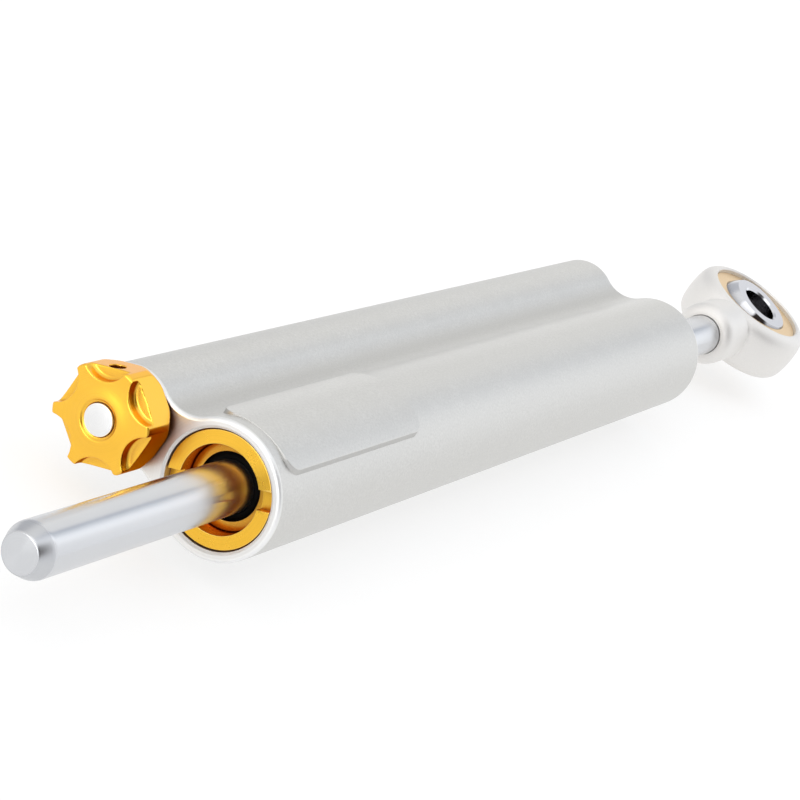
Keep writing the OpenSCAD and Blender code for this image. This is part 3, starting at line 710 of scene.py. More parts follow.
# %% [markdown]
# The rod end is a forging: a round eye with a crowned side that flows into a stubby neck. Two
# turned shells, eye and neck, are joined, and a voxel remesh melts them into one skin. Smoothing
# then leaves the soft rims and the fillet that a forging has. The seat of the race is bored
# afterwards, so it is crisp.

# %% Rod end: neck and eye
EYE_X = 167.0
EYE_TURN = 4.7
BALL_TURN = 12.0
NECK_RADIUS, NECK_ROUND = 8.0, 2.8
NECK_TAPER, NECK_END, NECK_ROOT = 150.3, 154.0, 5.3
EYE_RADIUS = 16.7
EYE_HALF = 7.3
EYE_RIM = 4.0
CROWN_RADIUS = 24.0


def at_eye(turn_degrees):
    return shift(EYE_X) @ turn_about("X", turn_degrees) @ turn_about("Y", -90.0)


neck = turned("neck", [
    (NECK_START, 0.0), (NECK_START, NECK_RADIUS, NECK_ROUND), (NECK_TAPER, NECK_RADIUS),
    (NECK_END, NECK_ROOT), (NECK_END, 0.0),
], segments=8)
crown_centre = EYE_RADIUS - CROWN_RADIUS
rim_place = EYE_HALF - EYE_RIM
rim_centre = crown_centre + math.sqrt((CROWN_RADIUS - EYE_RIM) ** 2 - rim_place ** 2)
rim_angle = math.atan2(rim_place, rim_centre - crown_centre)
eye_half = arc(crown_centre, 0.0, CROWN_RADIUS, 0.0, rim_angle, 6)
eye_half += arc(rim_centre, rim_place, EYE_RIM, rim_angle, math.pi / 2, 10)
eye_half += [(rim_centre, EYE_HALF)]
eye_section = [(-EYE_HALF, 0.0)] + [(-place, radius) for radius, place in reversed(eye_half)]
eye_section += [(place, radius) for radius, place in eye_half[1:]] + [(EYE_HALF, 0.0)]
eye = turned("eye_forging", eye_section, at=at_eye(EYE_TURN))
take(eye)
neck.select_set(True)
bpy.ops.object.join()
melt(eye, voxel=0.25, rounds=24)
print(eye.name, "faces after melting", len(eye.data.polygons))

# %% Rod end: seat and thread
SEAT_HALF, SEAT_RADIUS = 6.8, 13.0
FLARE_PLACE, FLARE_RADIUS = 12.0, 17.7
SINK_DEPTH, SINK_WIDE, SINK_NARROW = 0.7, 6.1, 4.5
hole_radius = THREAD_RADIUS + 0.05
race_seat = turned("race_seat", [
    (-FLARE_PLACE, 0.0), (-FLARE_PLACE, FLARE_RADIUS), (-SEAT_HALF, SEAT_RADIUS),
    (SEAT_HALF, SEAT_RADIUS), (FLARE_PLACE, FLARE_RADIUS), (FLARE_PLACE, 0.0),
], at=at_eye(EYE_TURN))
thread_hole = turned("thread_hole", [
    (NECK_START - OVER, 0.0), (NECK_START - OVER, SINK_WIDE),
    (NECK_START + SINK_DEPTH, SINK_NARROW), (NECK_START + SINK_DEPTH, hole_radius),
    (NECK_START + THREAD_LENGTH + OVER, hole_radius), (NECK_START + THREAD_LENGTH + OVER, 0.0),
])
cut_away(eye, race_seat, thread_hole)
finish(eye, "rod", ["rod_end_housing"], smooth=30.0)

# %% [markdown]
# In the eye sits a pale gold race whose inside is part of a sphere, and in the race a plated ball
# with flat sides and a bore for the bolt. Both are turned about the eye's own axis. The arcs are
# drawn as points along the sphere.

# %% Rod end: race and ball
RACE_HALF, RACE_OUTER, RACE_SPHERE = 6.0, 12.95, 11.15
BALL_HALF, BALL_SPHERE = 7.5, 11.1
BOLT_BORE, BORE_CHAMFER = 5.0, 0.5


def sphere_points(radius, start, end, steps):
    places = [start + (end - start) * k / steps for k in range(steps + 1)]
    return [(place, math.sqrt(radius ** 2 - place ** 2)) for place in places]


race_section = [(-RACE_HALF, RACE_OUTER, 0.25), (RACE_HALF, RACE_OUTER, 0.25)]
race_section += sphere_points(RACE_SPHERE, RACE_HALF, -RACE_HALF, 24)
race = turned("race_ring", race_section, at=at_eye(EYE_TURN))
bore_end = BALL_HALF - BORE_CHAMFER
bore_mouth = BOLT_BORE + BORE_CHAMFER
ball_section = [(bore_end, BOLT_BORE), (-bore_end, BOLT_BORE), (-BALL_HALF, bore_mouth)]
ball_section += sphere_points(BALL_SPHERE, -BALL_HALF, BALL_HALF, 48) + [(BALL_HALF, bore_mouth)]
ball = turned("bored_ball", ball_section, at=at_eye(BALL_TURN))
finish(race, "rod", ["rod_end_race"])
finish(ball, "ball", ["rod_end_ball"])

# %% [markdown]
# The knob starts as a turned disc that tapers to the back. A six-sided cylinder, intersected with
# it, gives the flats, and six round cutters bite finger scallops into its front, round a low hub,
# which leaves the teeth. Bores and a shallow recess follow. A bevel would stumble where so many
# cuts meet, so a fine voxel remesh with a little smoothing rounds every edge the way tumbling does
# before anodising.

# %% Knob: disc and flats
KNOB_FRONT = -111.05
KNOB_BACK = -102.05
KNOB_RADIUS = 10.3
KNOB_TAPER, KNOB_FOOT = 1.8, 9.35
KNOB_TURN = 64.0
KNOB_FLATS = 18.4
HALF_SIXTH = 30.0
hub_profile = [
    (0.0, 4.2), (0.10, 4.8), (0.23, 5.5), (0.33, 6.2), (0.40, 7.2), (0.42, KNOB_RADIUS - 0.35),
    (0.78, KNOB_RADIUS),
]
at_knob = at_small_tube @ turn_about("X", KNOB_TURN)
knob_section = [(KNOB_FRONT, 0.0)] + [(KNOB_FRONT + depth, radius) for depth, radius in hub_profile]
knob_section += [
    (KNOB_BACK - KNOB_TAPER, KNOB_RADIUS, 0.5), (KNOB_BACK, KNOB_FOOT, 0.2), (KNOB_BACK, 0.0),
]
knob = turned("toothed_knob", knob_section)


def hexagon(name, across_flats, start, end):
    let_go()
    corner_radius = across_flats / 2 / math.cos(math.radians(HALF_SIXTH)) * MM
    bpy.ops.mesh.primitive_cylinder_add(vertices=6, radius=corner_radius, depth=(end - start) * MM)
    piece = named(name)
    settle(piece, shift((start + end) / 2) @ turn_about("Y", 90.0))
    return piece


flats = hexagon("flats", KNOB_FLATS, KNOB_FRONT - OVER, KNOB_BACK + OVER)
flats.data.transform(turn_about("X", HALF_SIXTH))
combine(knob, "INTERSECT", flats)
print("knob faces after the flats", len(knob.data.polygons))

# %% Knob: scallops and bores
SCALLOPS = 6
SCALLOP_AXIS, SCALLOP_RADIUS, SCALLOP_DEPTH, SCALLOP_ROUND = 12.0, 5.0, 2.5, 0.6
SCALLOP_FLOOR, SCALLOP_FLAT = 2.7, 2.8
RECESS_DEPTH, RECESS_WIDE, RECESS_NARROW = 0.4, 4.9, 3.5
SPINDLE_HOLE = 3.1
SCREW_HOLE, SCREW_REACH = 1.55, 20.6
DETENT_HOLE, DETENT_DEPTH, DETENT_AXIS = 1.3, 5.5, 4.95
HOLE_STEPS = 48


def rod_cutter(name, radius, start, end, steps=CUTTER_STEPS):
    return turned(name, [(start, 0.0), (start, radius), (end, radius), (end, 0.0)], steps=steps)


for k in range(SCALLOPS):
    scallop = turned("scallop", [
        (KNOB_FRONT - OVER, 0.0), (KNOB_FRONT - OVER, SCALLOP_RADIUS),
        (KNOB_FRONT + SCALLOP_DEPTH, SCALLOP_RADIUS, SCALLOP_ROUND),
        (KNOB_FRONT + SCALLOP_FLOOR, SCALLOP_FLAT), (KNOB_FRONT + SCALLOP_FLOOR, 0.0),
    ], steps=CUTTER_STEPS, segments=6)
    scallop.data.transform(turn_about("X", 360.0 / SCALLOPS * k) @ shift(y=SCALLOP_AXIS))
    cut_away(knob, scallop)
recess = turned("recess", [
    (KNOB_FRONT - OVER, 0.0), (KNOB_FRONT - OVER, RECESS_WIDE),
    (KNOB_FRONT + RECESS_DEPTH, RECESS_NARROW), (KNOB_FRONT + RECESS_DEPTH, 0.0),
], steps=CUTTER_STEPS)
spindle_hole = rod_cutter("spindle_hole", SPINDLE_HOLE, KNOB_FRONT - OVER, KNOB_BACK + OVER)
screw_hole = rod_cutter("screw_hole", SCREW_HOLE, 0.0, SCREW_REACH, steps=HOLE_STEPS)
screw_hole.data.transform(shift((KNOB_FRONT + KNOB_BACK) / 2) @ turn_about("Z", 90.0))
detent_hole = rod_cutter("detent_hole", DETENT_HOLE, KNOB_BACK - DETENT_DEPTH, KNOB_BACK + OVER,
                         steps=HOLE_STEPS)
detent_hole.data.transform(shift(y=-DETENT_AXIS))
cut_away(knob, recess, spindle_hole, screw_hole, detent_hole)
melt(knob, voxel=0.15, rounds=4)
settle(knob, at_knob)
finish(knob, "knob", ["adjuster_knob"], rubbed=lambda face: False)

# %% [markdown]
# A silver spindle passes through the knob and ends flush with its face. Its inner end has a flange
# and a hexagonal drive for the needle. The hexagon is a six-sided cylinder with its end bevelled.

# %% Spindle
SPINDLE_RADIUS = 3.05
SPINDLE_GROOVE_START, SPINDLE_GROOVE_END, SPINDLE_GROOVE_FLOOR = 3.55, 5.45, 1.7
FLANGE_START, FLANGE_END, FLANGE_RADIUS = 9.05, 11.05, 5.05
DRIVE_START, DRIVE_END, DRIVE_FLATS = 10.55, 21.05, 3.0
DRIVE_EDGE = 0.15
spindle_section = [(KNOB_FRONT, 0.0), (KNOB_FRONT, SPINDLE_RADIUS, 0.18)]
spindle_section += groove(front(SPINDLE_GROOVE_START), front(SPINDLE_GROOVE_END),
                          SPINDLE_GROOVE_FLOOR, SPINDLE_RADIUS)
spindle_section += [
    (front(FLANGE_START), SPINDLE_RADIUS), (front(FLANGE_START), FLANGE_RADIUS, 0.2),
    (front(FLANGE_END), FLANGE_RADIUS, 0.2), (front(FLANGE_END), 0.0),
]
spindle = turned("silver_spindle", spindle_section, steps=SMALL_STEPS)
drive = hexagon("drive", DRIVE_FLATS, front(DRIVE_START), front(DRIVE_END))
soften(drive, DRIVE_EDGE, angle=30.0)
combine(spindle, "UNION", drive)
settle(spindle, at_knob)
finish(spindle, "knob", ["adjuster_spindle"])

# %% [markdown]
# The far end of the small tube is closed by a steel plug with a hexagon socket, which shows from
# behind. It is turned with its seal groove, and the socket is cut with the same hexagon.

# %% Rear plug
PLUG_START, PLUG_END, PLUG_RADIUS = 193.8, 202.2, 6.45
PLUG_GROOVE_START, PLUG_GROOVE_END, PLUG_GROOVE_FLOOR = 195.6, 197.7, 4.9
SOCKET_START, SOCKET_END, SOCKET_FLATS = 198.2, 204.0, 5.0
PLUG_EDGE = 0.15
plug_section = [(front(PLUG_START), 0.0), (front(PLUG_START), PLUG_RADIUS, 0.3)]
plug_section += groove(front(PLUG_GROOVE_START), front(PLUG_GROOVE_END), PLUG_GROOVE_FLOOR, PLUG_RADIUS)
plug_section += [(front(PLUG_END), PLUG_RADIUS, 0.4), (front(PLUG_END), 0.0)]
plug = turned("socket_plug", plug_section, steps=SMALL_STEPS)
cut_away(plug, hexagon("socket", SOCKET_FLATS, front(SOCKET_START), front(SOCKET_END)))
soften(plug, PLUG_EDGE)
settle(plug, at_small_tube)
finish(plug, "barrel", ["rear_plug"])

# %% [markdown]
# Between that plug and the piston of the heat compensator sits a coil spring. It is hidden, yet it
# has to follow: one end stays on the plug, the other goes with the piston. A Screw modifier sweeps
# the wire's round section into a coil.

# %% Compensator spring
WIRE_RADIUS = 0.5
WIRE_SIDES = 12
COIL_RADIUS = 4.2
COIL_TURNS = 6
COIL_STEPS = 28
spring_low, spring_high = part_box("compensator_spring")
coil_rise = spring_high.x - spring_low.x - 2 * WIRE_RADIUS * MM
let_go()
bpy.ops.mesh.primitive_circle_add(vertices=WIRE_SIDES, radius=WIRE_RADIUS * MM, fill_type="NOTHING",
                                  location=(spring_low.x + WIRE_RADIUS * MM, COIL_RADIUS * MM, 0.0))
coil = named("compensator_coil")
settle(coil)
apply_modifier(coil, "SCREW", axis="X", angle=math.tau, iterations=COIL_TURNS, steps=COIL_STEPS,
               render_steps=COIL_STEPS, screw_offset=coil_rise / COIL_TURNS)
bpy.ops.object.mode_set(mode="EDIT")
bpy.ops.mesh.select_all(action="SELECT")
bpy.ops.mesh.remove_doubles(threshold=TOUCHING)
bpy.ops.mesh.fill_holes(sides=0)
face_outwards()
bpy.ops.object.mode_set(mode="OBJECT")
settle(coil, at_small_tube)
bpy.ops.object.shade_smooth_by_angle(angle=math.radians(SMOOTH_ANGLE))
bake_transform(coil)
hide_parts("compensator_spring")
pieces[coil.name] = coil
print(coil.name, "faces", len(coil.data.polygons))

# %% [markdown]
# Finishes share a few effects, so each effect is a node group. Fine grain is what blasting or
# plating leaves. Handling marks are the slow changes of tone over a few millimetres. Tool marks
# are the fine rings of a lathe. Rubbed edges are the narrow faces marked above, broken up a little.

# %% Node groups for shared effects
def new_group(name, outputs, **inputs):
    """A shader group; a number makes a Float input, anything else a Vector input."""
    group = bpy.data.node_groups.new(name, "ShaderNodeTree")
    for label, value in inputs.items():
        kind = "NodeSocketFloat" if isinstance(value, float) else "NodeSocketVector"
        socket = group.interface.new_socket(name=label, in_out="INPUT", socket_type=kind)
        if value is not None:
            socket.default_value = value
    for label in outputs:
        group.interface.new_socket(name=label, in_out="OUTPUT", socket_type="NodeSocketFloat")
    return group, group.nodes.new("NodeGroupInput"), group.nodes.new("NodeGroupOutput")


def add_noise(tree, dimensions, detail, rough=0.6):
    noise = tree.nodes.new("ShaderNodeTexNoise")
    noise.noise_dimensions = dimensions
    noise.inputs["Detail"].default_value = detail
    noise.inputs["Roughness"].default_value = rough
    return noise


grain, grain_in, grain_out = new_group("fine_grain", ["Tone", "Height"], Vector=None, Scale=4000.0)
grain_noise = add_noise(grain, "3D", 3.0, 0.7)
grain_tone = add_range(grain, 0.3, 0.7)
wire(grain,
     (grain_in, "Vector", grain_noise, "Vector"), (grain_in, "Scale", grain_noise, "Scale"),
     (grain_noise, "Fac", grain_tone, "Value"), (grain_tone, "Result", grain_out, "Tone"),
     (grain_noise, "Fac", grain_out, "Height"))

marks, marks_in, marks_out = new_group("handling_marks", ["Tone"], Vector=None, Scale=180.0)
marks_noise = add_noise(marks, "3D", 5.0)
marks_tone = add_range(marks, 0.32, 0.68)
wire(marks,
     (marks_in, "Vector", marks_noise, "Vector"), (marks_in, "Scale", marks_noise, "Scale"),
     (marks_noise, "Fac", marks_tone, "Value"), (marks_tone, "Result", marks_out, "Tone"))
print("groups", grain.name, marks.name)

# %% Node groups for tool marks and rubbed edges
rings, rings_in, rings_out = new_group("tool_rings", ["Tone", "Height"], Vector=None, Scale=9000.0)
rings_split = rings.nodes.new("ShaderNodeSeparateXYZ")
rings_flat = rings.nodes.new("ShaderNodeCombineXYZ")
rings_radius = add_math(rings, "ShaderNodeVectorMath", "LENGTH")
rings_along = add_math(rings, "ShaderNodeMath", "ADD")
rings_noise = add_noise(rings, "1D", 2.0)
rings_tone = add_range(rings, 0.3, 0.7)
wire(rings,
     (rings_in, "Vector", rings_split, "Vector"),
     (rings_split, "Y", rings_flat, "Y"), (rings_split, "Z", rings_flat, "Z"),
     (rings_flat, "Vector", rings_radius, 0), (rings_radius, "Value", rings_along, 0),
     (rings_split, "X", rings_along, 1), (rings_along, "Value", rings_noise, "W"),
     (rings_in, "Scale", rings_noise, "Scale"), (rings_noise, "Fac", rings_tone, "Value"),
     (rings_tone, "Result", rings_out, "Tone"), (rings_noise, "Fac", rings_out, "Height"))

rubbed, rubbed_in, rubbed_out = new_group("rubbed_edges", ["Mask"], Vector=None, Scale=900.0)
rubbed_band = rubbed.nodes.new("ShaderNodeAttribute")
rubbed_band.attribute_name = "edge_band"
rubbed_noise = add_noise(rubbed, "3D", 3.0)
rubbed_break = add_range(rubbed, 0.05, 0.42)
rubbed_mask = add_math(rubbed, "ShaderNodeMath", "MULTIPLY")
wire(rubbed,
     (rubbed_in, "Vector", rubbed_noise, "Vector"), (rubbed_in, "Scale", rubbed_noise, "Scale"),
     (rubbed_noise, "Fac", rubbed_break, "Value"), (rubbed_break, "Result", rubbed_mask, 0),
     (rubbed_band, "Fac", rubbed_mask, 1), (rubbed_mask, "Value", rubbed_out, "Mask"))
print("groups", rings.name, rubbed.name)

# %% [markdown]
# Where the knob stands over the housing's front, each mirrors the other and little light gets in,
# so the gap goes deep brown. That brown is painted shade: an occlusion node finds such places, and a
# group turns it into a mask for a darker colour. The knob's flats that face the main tube mirror its
# dark gold mouth; that reflection is painted as a brown shade too, on faces that a second group
# finds because they look one way.

# %% Node groups for shaded gaps and sides
gaps, gaps_in, gaps_out = new_group("shaded_gaps", ["Mask"], Distance=0.007, Open=0.9, Closed=0.5)
gaps_near = gaps.nodes.new("ShaderNodeAmbientOcclusion")
gaps_near.samples = 8
gaps_mask = add_range(gaps, smooth=True)
wire(gaps,
     (gaps_in, "Open", gaps_mask, "From Min"), (gaps_in, "Closed", gaps_mask, "From Max"),
     (gaps_in, "Distance", gaps_near, "Distance"), (gaps_near, "AO", gaps_mask, "Value"),
     (gaps_mask, "Result", gaps_out, "Mask"))

side, side_in, side_out = new_group("shaded_side", ["Mask"], Direction=(0.0, -1.0, 0.0))
side_normal = side.nodes.new("ShaderNodeNewGeometry")
side_facing = add_math(side, "ShaderNodeVectorMath", "DOT_PRODUCT")
side_mask = add_range(side, 0.62, 0.95, smooth=True)
wire(side,
     (side_normal, "Normal", side_facing, 0), (side_in, "Direction", side_facing, 1),
     (side_facing, "Value", side_mask, "Value"), (side_mask, "Result", side_out, "Mask"))
print("groups", gaps.name, side.name)

# %% [markdown]
# The valley between the two tubes is painted a shade darker and the shoulder beside it a shade
# paler, in soft bands along the housing: painted shade in the valley, a painted highlight on the
# shoulder. One group makes such a band from its place across the housing and its reach to either side.

# %% Node group for bands of painted shade and highlight
bands, bands_in, bands_out = new_group("painted_light_band", ["Mask"], Vector=None, Middle=0.014, Reach=0.004)
bands_split = bands.nodes.new("ShaderNodeSeparateXYZ")
bands_off = add_math(bands, "ShaderNodeMath", "SUBTRACT")
bands_away = add_math(bands, "ShaderNodeMath", "ABSOLUTE")
bands_mask = add_range(bands, high=0.0, smooth=True)
wire(bands,
     (bands_in, "Vector", bands_split, "Vector"), (bands_split, "Y", bands_off, 0),
     (bands_in, "Middle", bands_off, 1), (bands_off, "Value", bands_away, 0),
     (bands_away, "Value", bands_mask, "Value"), (bands_in, "Reach", bands_mask, "From Min"),
     (bands_mask, "Result", bands_out, "Mask"))
print("group", bands.name)

# %% [markdown]
# Every metal here is built the same way: two close tones of the metal mixed by the marks, a third
# for rubbed edges, a roughness that wanders a little, and a bump too fine to see as shape. Some add
# painted bands of shade and highlight, painted shade in gaps or a painted shaded side. Only the
# numbers differ. The mapping centres lathe rings on the piece's own axis, axis_y away from the main one.

# %% Helper for metal finishes
METAL_RELIEF = 0.02


def add_group(tree, group, vector=None, **values):
    node = tree.nodes.new("ShaderNodeGroup")
    node.node_tree = group
    if vector is not None:
        tree.links.new(vector, node.inputs["Vector"])
    for label, value in values.items():
        node.inputs[label].default_value = value
    return node


def new_material(name):
    material = bpy.data.materials.new(name)
    material.use_nodes = True
    tree = material.node_tree
    return material, tree, tree.nodes["Principled BSDF"]


def add_relief(tree, shader, fine, strength, depth):
    relief = tree.nodes.new("ShaderNodeBump")
    relief.inputs["Strength"].default_value = strength
    relief.inputs["Distance"].default_value = depth * MM
    wire(tree, (fine, "Height", relief, "Height"), (relief, "Normal", shader, "Normal"))


def metal(name, dark, light, edge, rough, fine_scale, slow_scale, bump, pattern=grain, axis_y=0.0,
          metallic=1.0, gap=None, coat=0.0, speck=0.94, side_shade_colour=None, grazing=(1.0, 1.0, 1.0),
          painted_bands=()):
    material, tree, shader = new_material(name)
    shader.inputs["Metallic"].default_value = metallic
    shader.inputs["Specular Tint"].default_value = (*grazing, 1.0)
    shader.inputs["Coat Weight"].default_value = coat
    shader.inputs["Coat Roughness"].default_value = 0.15
    coordinates = tree.nodes.new("ShaderNodeTexCoord")
    centred = tree.nodes.new("ShaderNodeMapping")
    centred.inputs["Location"].default_value = (0.0, -axis_y * MM, 0.0)
    wire(tree, (coordinates, "Object", centred, "Vector"))
    place = centred.outputs["Vector"]
    fine = add_group(tree, pattern, place, Scale=fine_scale)
    slow = add_group(tree, marks, place, Scale=slow_scale)
    worn = add_group(tree, rubbed, place)
    toned = mix_colour(tree, slow.outputs["Tone"], dark, light)
    grained = mix_colour(tree, fine.outputs["Tone"], tuple(speck * c for c in dark), toned)
    colour = mix_colour(tree, worn.outputs["Mask"], grained, edge)
    # painted shade and highlight: each soft band darkens or lightens the colour across the housing
    for middle, reach, strength in painted_bands:
        soft = add_group(tree, bands, place, Middle=middle * MM, Reach=reach * MM)
        tone = (strength, strength, strength)
        colour = mix_colour(tree, soft.outputs["Mask"], colour, tone, "MULTIPLY")
    # painted shade: where the occlusion mask finds a gap, the colour turns to the shade colour
    if gap is not None:
        shade_colour, reach, unshaded, shaded = gap
        shade = add_group(tree, gaps, Distance=reach * MM, Open=unshaded, Closed=shaded)
        colour = mix_colour(tree, shade.outputs["Mask"], colour, shade_colour)
    # painted shade and reflection: faces that look towards the main tube take a darker colour and less
    # coat
    if side_shade_colour is not None:
        turned_in = add_group(tree, side)
        colour = mix_colour(tree, turned_in.outputs["Mask"], colour, side_shade_colour)
        thin_coat = add_range(tree, to_low=coat, to_high=0.0)
        wire(tree, (turned_in, "Mask", thin_coat, "Value"), (thin_coat, "Result", shader, "Coat Weight"))
    tree.links.new(colour, shader.inputs["Base Color"])
    polish = add_range(tree, to_low=rough[0], to_high=rough[1])
    wire(tree, (slow, "Tone", polish, "Value"), (polish, "Result", shader, "Roughness"))
    add_relief(tree, shader, fine, bump, METAL_RELIEF)
    return material


print("metal helper ready")

# %% [markdown]
# The housing is blasted to a satin skin and machined at its ends. The skin has a coarse grain and
# two soft bands, painted shade in the valley and a painted highlight on the shoulder, and the panel's
# upright walls take a darker copy of the skin as painted shade. The end faces carry lathe rings and
# a painted brown shade under the knob, the rims are plain cut metal, and the lip of the bore is so
# dull that it hardly mirrors the gold. One material with masks could do all this, but five finishes,
# each on its own faces, are easier to read.

# %% Housing finishes
# the two soft bands are painted shade in the valley and a painted highlight on the shoulder
satin_housing = metal(
    "satin_housing", (0.655, 0.65, 0.63), (0.71, 0.705, 0.685), (0.80, 0.80, 0.78), rough=(0.44, 0.50),
    fine_scale=2200.0, slow_scale=160.0, bump=0.50, speck=0.91,
    painted_bands=[(14.1, 3.6, 0.85), (7.5, 5.5, 1.13)])
# painted shade: the panel's upright walls take a darker copy of the satin skin
shaded_panel_wall = metal(
    "shaded_panel_wall", (0.55, 0.545, 0.53), (0.60, 0.595, 0.58), (0.66, 0.66, 0.64), rough=(0.46, 0.52),
    fine_scale=2200.0, slow_scale=160.0, bump=0.40, speck=0.93)
# painted shade: the gap colour browns the end face under the knob
machined_face = metal(
    "machined_face", (0.81, 0.80, 0.785), (0.86, 0.85, 0.835), (0.88, 0.88, 0.87), rough=(0.40, 0.46),
    fine_scale=6000.0, slow_scale=200.0, bump=0.10, pattern=rings,
    gap=((0.30, 0.17, 0.09), 4.5, 0.74, 0.40))
cut_rim = metal(
    "cut_rim", (0.75, 0.75, 0.75), (0.81, 0.81, 0.81), (0.86, 0.86, 0.86), rough=(0.44, 0.50),
    fine_scale=6000.0, slow_scale=200.0, bump=0.06, pattern=rings)
bore_lip = metal(
    "bore_lip", (0.86, 0.86, 0.86), (0.92, 0.92, 0.92), (0.94, 0.94, 0.94), rough=(0.50, 0.56),
    fine_scale=6000.0, slow_scale=200.0, bump=0.06, pattern=rings, metallic=0.35)
housing_finishes = [satin_housing, machined_face, cut_rim, bore_lip, shaded_panel_wall]
print("housing finishes", len(housing_finishes))

# %% [markdown]
# Rings, seal heads and knob are gold anodised, a dyed skin on aluminium. The dye colours the mirror
# image itself, so this is a golden metal, and a clear coat lays the pale gloss on top. Plain metal
# turns white at grazing angles, so a tint keeps the edges golden. Painted shade deepens the gold in
# gaps, and the knob's flats that face the main tube take a painted brown shade, with less coat.

# %% Gold finishes
GOLD_GRAZING = (1.0, 0.62, 0.12)
# painted shade: the gap colour deepens the gold in gaps
gold_turned = metal(
    "gold_turned", (0.94, 0.53, 0.042), (0.98, 0.57, 0.055), (1.0, 0.66, 0.14), rough=(0.25, 0.31),
    fine_scale=7000.0, slow_scale=120.0, bump=0.08, pattern=rings, coat=0.3, grazing=GOLD_GRAZING,
    gap=((0.42, 0.12, 0.005), 5.0, 0.72, 0.25))
# painted shade: the gap colour and the side colour darken the knob
gold_knob = metal(
    "gold_knob", (0.94, 0.52, 0.030), (0.98, 0.56, 0.042), (1.0, 0.64, 0.12), rough=(0.28, 0.34),
    fine_scale=7000.0, slow_scale=120.0, bump=0.06, pattern=rings, axis_y=SMALL_AXIS, coat=0.8,
    grazing=GOLD_GRAZING, gap=((0.45, 0.12, 0.005), 4.0, 0.75, 0.40),
    side_shade_colour=(0.32, 0.070, 0.003))
print("gold finishes", gold_turned.name, gold_knob.name)

# %% [markdown]
# The rod is ground and then plated. Grinding leaves fine rings round it, so what it mirrors is drawn
# out along the rod and stays crisp round it: the gold of the ring fades along the rod, while the
# seam overhead stays a clean line. Anisotropy gives that, with a tangent that runs round X and is
# turned by a quarter. The cone at the tip is only turned, so it is duller, and so is the spindle.

# %% Rod and spindle finishes
ROD_STRETCH = 0.9
QUARTER_TURN = 0.25
plated_rod = metal(
    "plated_rod", (0.63, 0.64, 0.66), (0.67, 0.68, 0.70), (0.80, 0.80, 0.80), rough=(0.16, 0.20),
    fine_scale=9000.0, slow_scale=140.0, bump=0.03, pattern=rings)
rod_tree = plated_rod.node_tree
rod_shader = rod_tree.nodes["Principled BSDF"]
rod_shader.inputs["Anisotropic"].default_value = ROD_STRETCH
rod_shader.inputs["Anisotropic Rotation"].default_value = QUARTER_TURN
round_rod = rod_tree.nodes.new("ShaderNodeTangent")
round_rod.direction_type = "RADIAL"
round_rod.axis = "X"
wire(rod_tree, (round_rod, "Tangent", rod_shader, "Tangent"))
turned_tip = metal(
    "turned_tip", (0.55, 0.56, 0.58), (0.60, 0.61, 0.63), (0.74, 0.74, 0.75), rough=(0.26, 0.32),
    fine_scale=9000.0, slow_scale=140.0, bump=0.05, pattern=rings)
plated_spindle = metal(
    "plated_spindle", (0.82, 0.82, 0.82), (0.88, 0.88, 0.88), (0.92, 0.92, 0.92), rough=(0.30, 0.40),
    fine_scale=9000.0, slow_scale=400.0, bump=0.08, pattern=rings, axis_y=SMALL_AXIS)
print("rod finishes", plated_rod.name, turned_tip.name, plated_spindle.name)

# %% [markdown]
# The forging of the rod end is satin nickel, even and soft. Its ball is polished, and painted shade
# darkens it where it dips into the pale gold race. Bushes are bronze, and plugs, springs and piston
# are plain steel.

# %% Rod end and inner metals
# painted shade: the gap colour darkens the ball where it dips into the race
plated_ball = metal(
    "plated_ball", (0.66, 0.67, 0.70), (0.71, 0.72, 0.75), (0.85, 0.85, 0.86), rough=(0.05, 0.09),
    fine_scale=5000.0, slow_scale=200.0, bump=0.02, gap=((0.04, 0.022, 0.016), 9.0, 0.8, 0.45))
satin_nickel = metal(
    "satin_nickel", (0.80, 0.785, 0.765), (0.84, 0.825, 0.805), (0.90, 0.89, 0.87), rough=(0.54, 0.60),
    fine_scale=3500.0, slow_scale=120.0, bump=0.03, speck=0.98)
pale_race = metal(
    "pale_gold_race", (0.80, 0.60, 0.36), (0.86, 0.66, 0.42), (0.95, 0.78, 0.55), rough=(0.28, 0.38),
    fine_scale=3000.0, slow_scale=300.0, bump=0.10)
bronze = metal(
    "bush_bronze", (0.46, 0.30, 0.15), (0.54, 0.37, 0.20), (0.68, 0.50, 0.30), rough=(0.30, 0.42),
    fine_scale=6000.0, slow_scale=250.0, bump=0.12, pattern=rings)
steel = metal(
    "plain_steel", (0.48, 0.48, 0.49), (0.56, 0.56, 0.57), (0.72, 0.72, 0.73), rough=(0.28, 0.40),
    fine_scale=6000.0, slow_scale=220.0, bump=0.12, pattern=rings, axis_y=SMALL_AXIS)
print("materials so far", len(bpy.data.materials))

# %% [markdown]
# Rubber and the white piston band are not metals: they scatter light, so their colour is mixed
# from two close tones and their surface is a soft moulded grain.

# %% Rubber and band
MOULDED_RELIEF = 0.03


def moulded(name, dark, light, rough, shine):
    material, tree, shader = new_material(name)
    place = tree.nodes.new("ShaderNodeTexCoord").outputs["Object"]
    fine = add_group(tree, grain, place, Scale=2600.0)
    slow = add_group(tree, marks, place, Scale=260.0)
    tree.links.new(mix_colour(tree, slow.outputs["Tone"], dark, light), shader.inputs["Base Color"])
    shader.inputs["Roughness"].default_value = rough
    shader.inputs["Specular IOR Level"].default_value = shine
    add_relief(tree, shader, fine, 0.25, MOULDED_RELIEF)
    return material


# black rubber, partly painted shade: it is darker than real rubber, so the wiper deep in the nose reads
# as shade
rubber = moulded("black_rubber", (0.0015, 0.0015, 0.0015), (0.004, 0.0038, 0.0035), rough=0.8, shine=0.1)
band = moulded("white_band", (0.74, 0.74, 0.71), (0.82, 0.82, 0.79), rough=0.45, shine=0.5)
print("moulded", rubber.name, band.name)

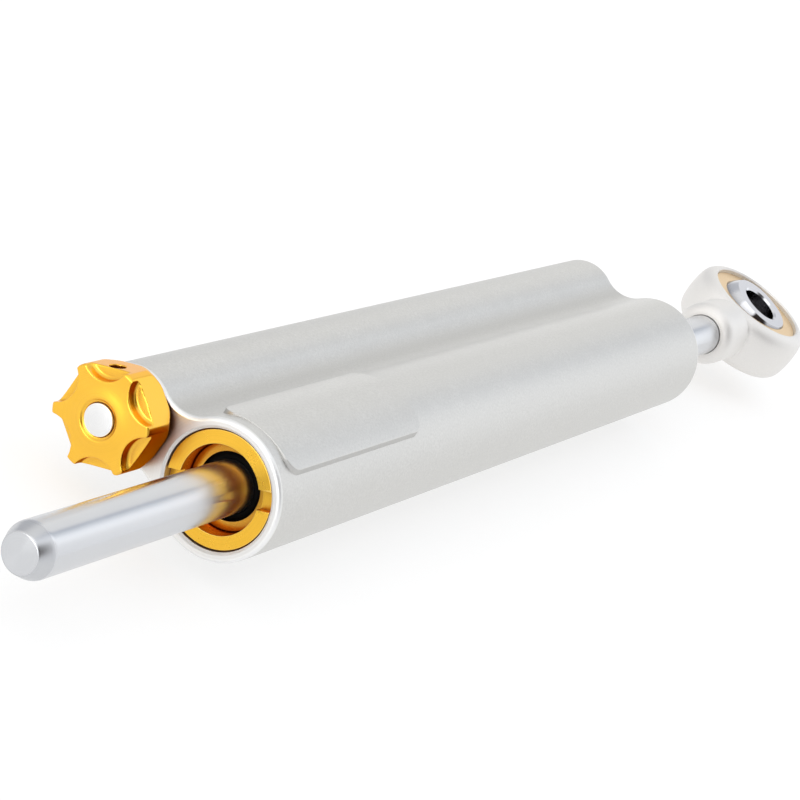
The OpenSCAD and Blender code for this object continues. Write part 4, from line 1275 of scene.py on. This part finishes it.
# %% [markdown]
# Last, each piece takes its finish. The housing and the rod have more than one, so their faces are
# sorted by where they are and which way they look. The solids that stay as they are, seals, springs
# and the inner works, take the finish of their slot in the same way.

# %% Dress the pieces
def dress(thing, *materials):
    thing.data.materials.clear()
    for material in materials:
        thing.data.materials.append(material)


piece_finish = {
    "housing_shell": housing_finishes, "front_ring": [gold_turned], "rear_ring": [gold_turned],
    "front_head": [gold_turned], "rear_head": [gold_turned], "front_lip": [rubber],
    "rear_lip": [rubber], "plated_through_rod": [plated_rod, turned_tip],
    "eye_forging": [satin_nickel], "race_ring": [pale_race], "bored_ball": [plated_ball],
    "toothed_knob": [gold_knob], "silver_spindle": [plated_spindle], "socket_plug": [steel],
    "compensator_coil": [steel],
}
for name, materials in piece_finish.items():
    dress(pieces[name], *materials)
print("dressed", len(piece_finish), "pieces")

# %% Sort the housing's and the rod's faces
END_FACE, RIM, LIP, SHADED_WALL = range(1, len(housing_finishes))
TIP_CONE = 1
FLAT_ON = 0.97
SLANTED = 0.3
CONE_SLANT = 0.2
CONE_REACH = 3.0
END_ZONE = 100.0
LIP_REACH = HEAD_BORE + MOUTH + 0.05
PANEL_FOOT = 9.0
WALL_START = HALF_LENGTH - 1.5
WALL_REACH = PANEL_WIDTH / 2 + 0.1


def is_panel_wall(face):
    inside = abs(face.center.x) < WALL_START * MM and abs(face.center.y) < WALL_REACH * MM
    return inside and abs(face.normal.z) < SLANTED and face.center.z > PANEL_FOOT * MM


end_faces = 0
wall_faces = 0
for face in housing.data.polygons:
    if abs(face.normal.x) > SLANTED and abs(face.center.x) > END_ZONE * MM:
        in_mouth = math.hypot(face.center.y, face.center.z) < LIP_REACH * MM
        face.material_index = END_FACE if abs(face.normal.x) > FLAT_ON else LIP if in_mouth else RIM
        end_faces += 1
    if is_panel_wall(face):
        face.material_index = SHADED_WALL
        wall_faces += 1
tip_faces = [face for face in rod.data.polygons if face.center.x < (TIP + CONE_REACH) * MM]
cone_faces = [face for face in tip_faces if CONE_SLANT < abs(face.normal.x) < FLAT_ON]
for face in cone_faces:
    face.material_index = TIP_CONE
print("end faces", end_faces, "panel walls", wall_faces, "cone faces", len(cone_faces))

# %% Dress the solids
slot_finish = {
    "satin_housing": satin_housing, "gold_anodise": gold_turned, "plated_rod": plated_rod,
    "satin_nickel": satin_nickel, "pale_gold_race": pale_race, "black_rubber": rubber,
    "bush_bronze": bronze, "plain_steel": steel, "white_band": band,
}
for subpart in frame["record"]["subparts"]:
    solid = frame["nodes"][subpart["node"]]
    for holder in solid.material_slots:
        holder.material = slot_finish[subpart["material_slot"]]
print("dressed", len(frame["nodes"]), "nodes")
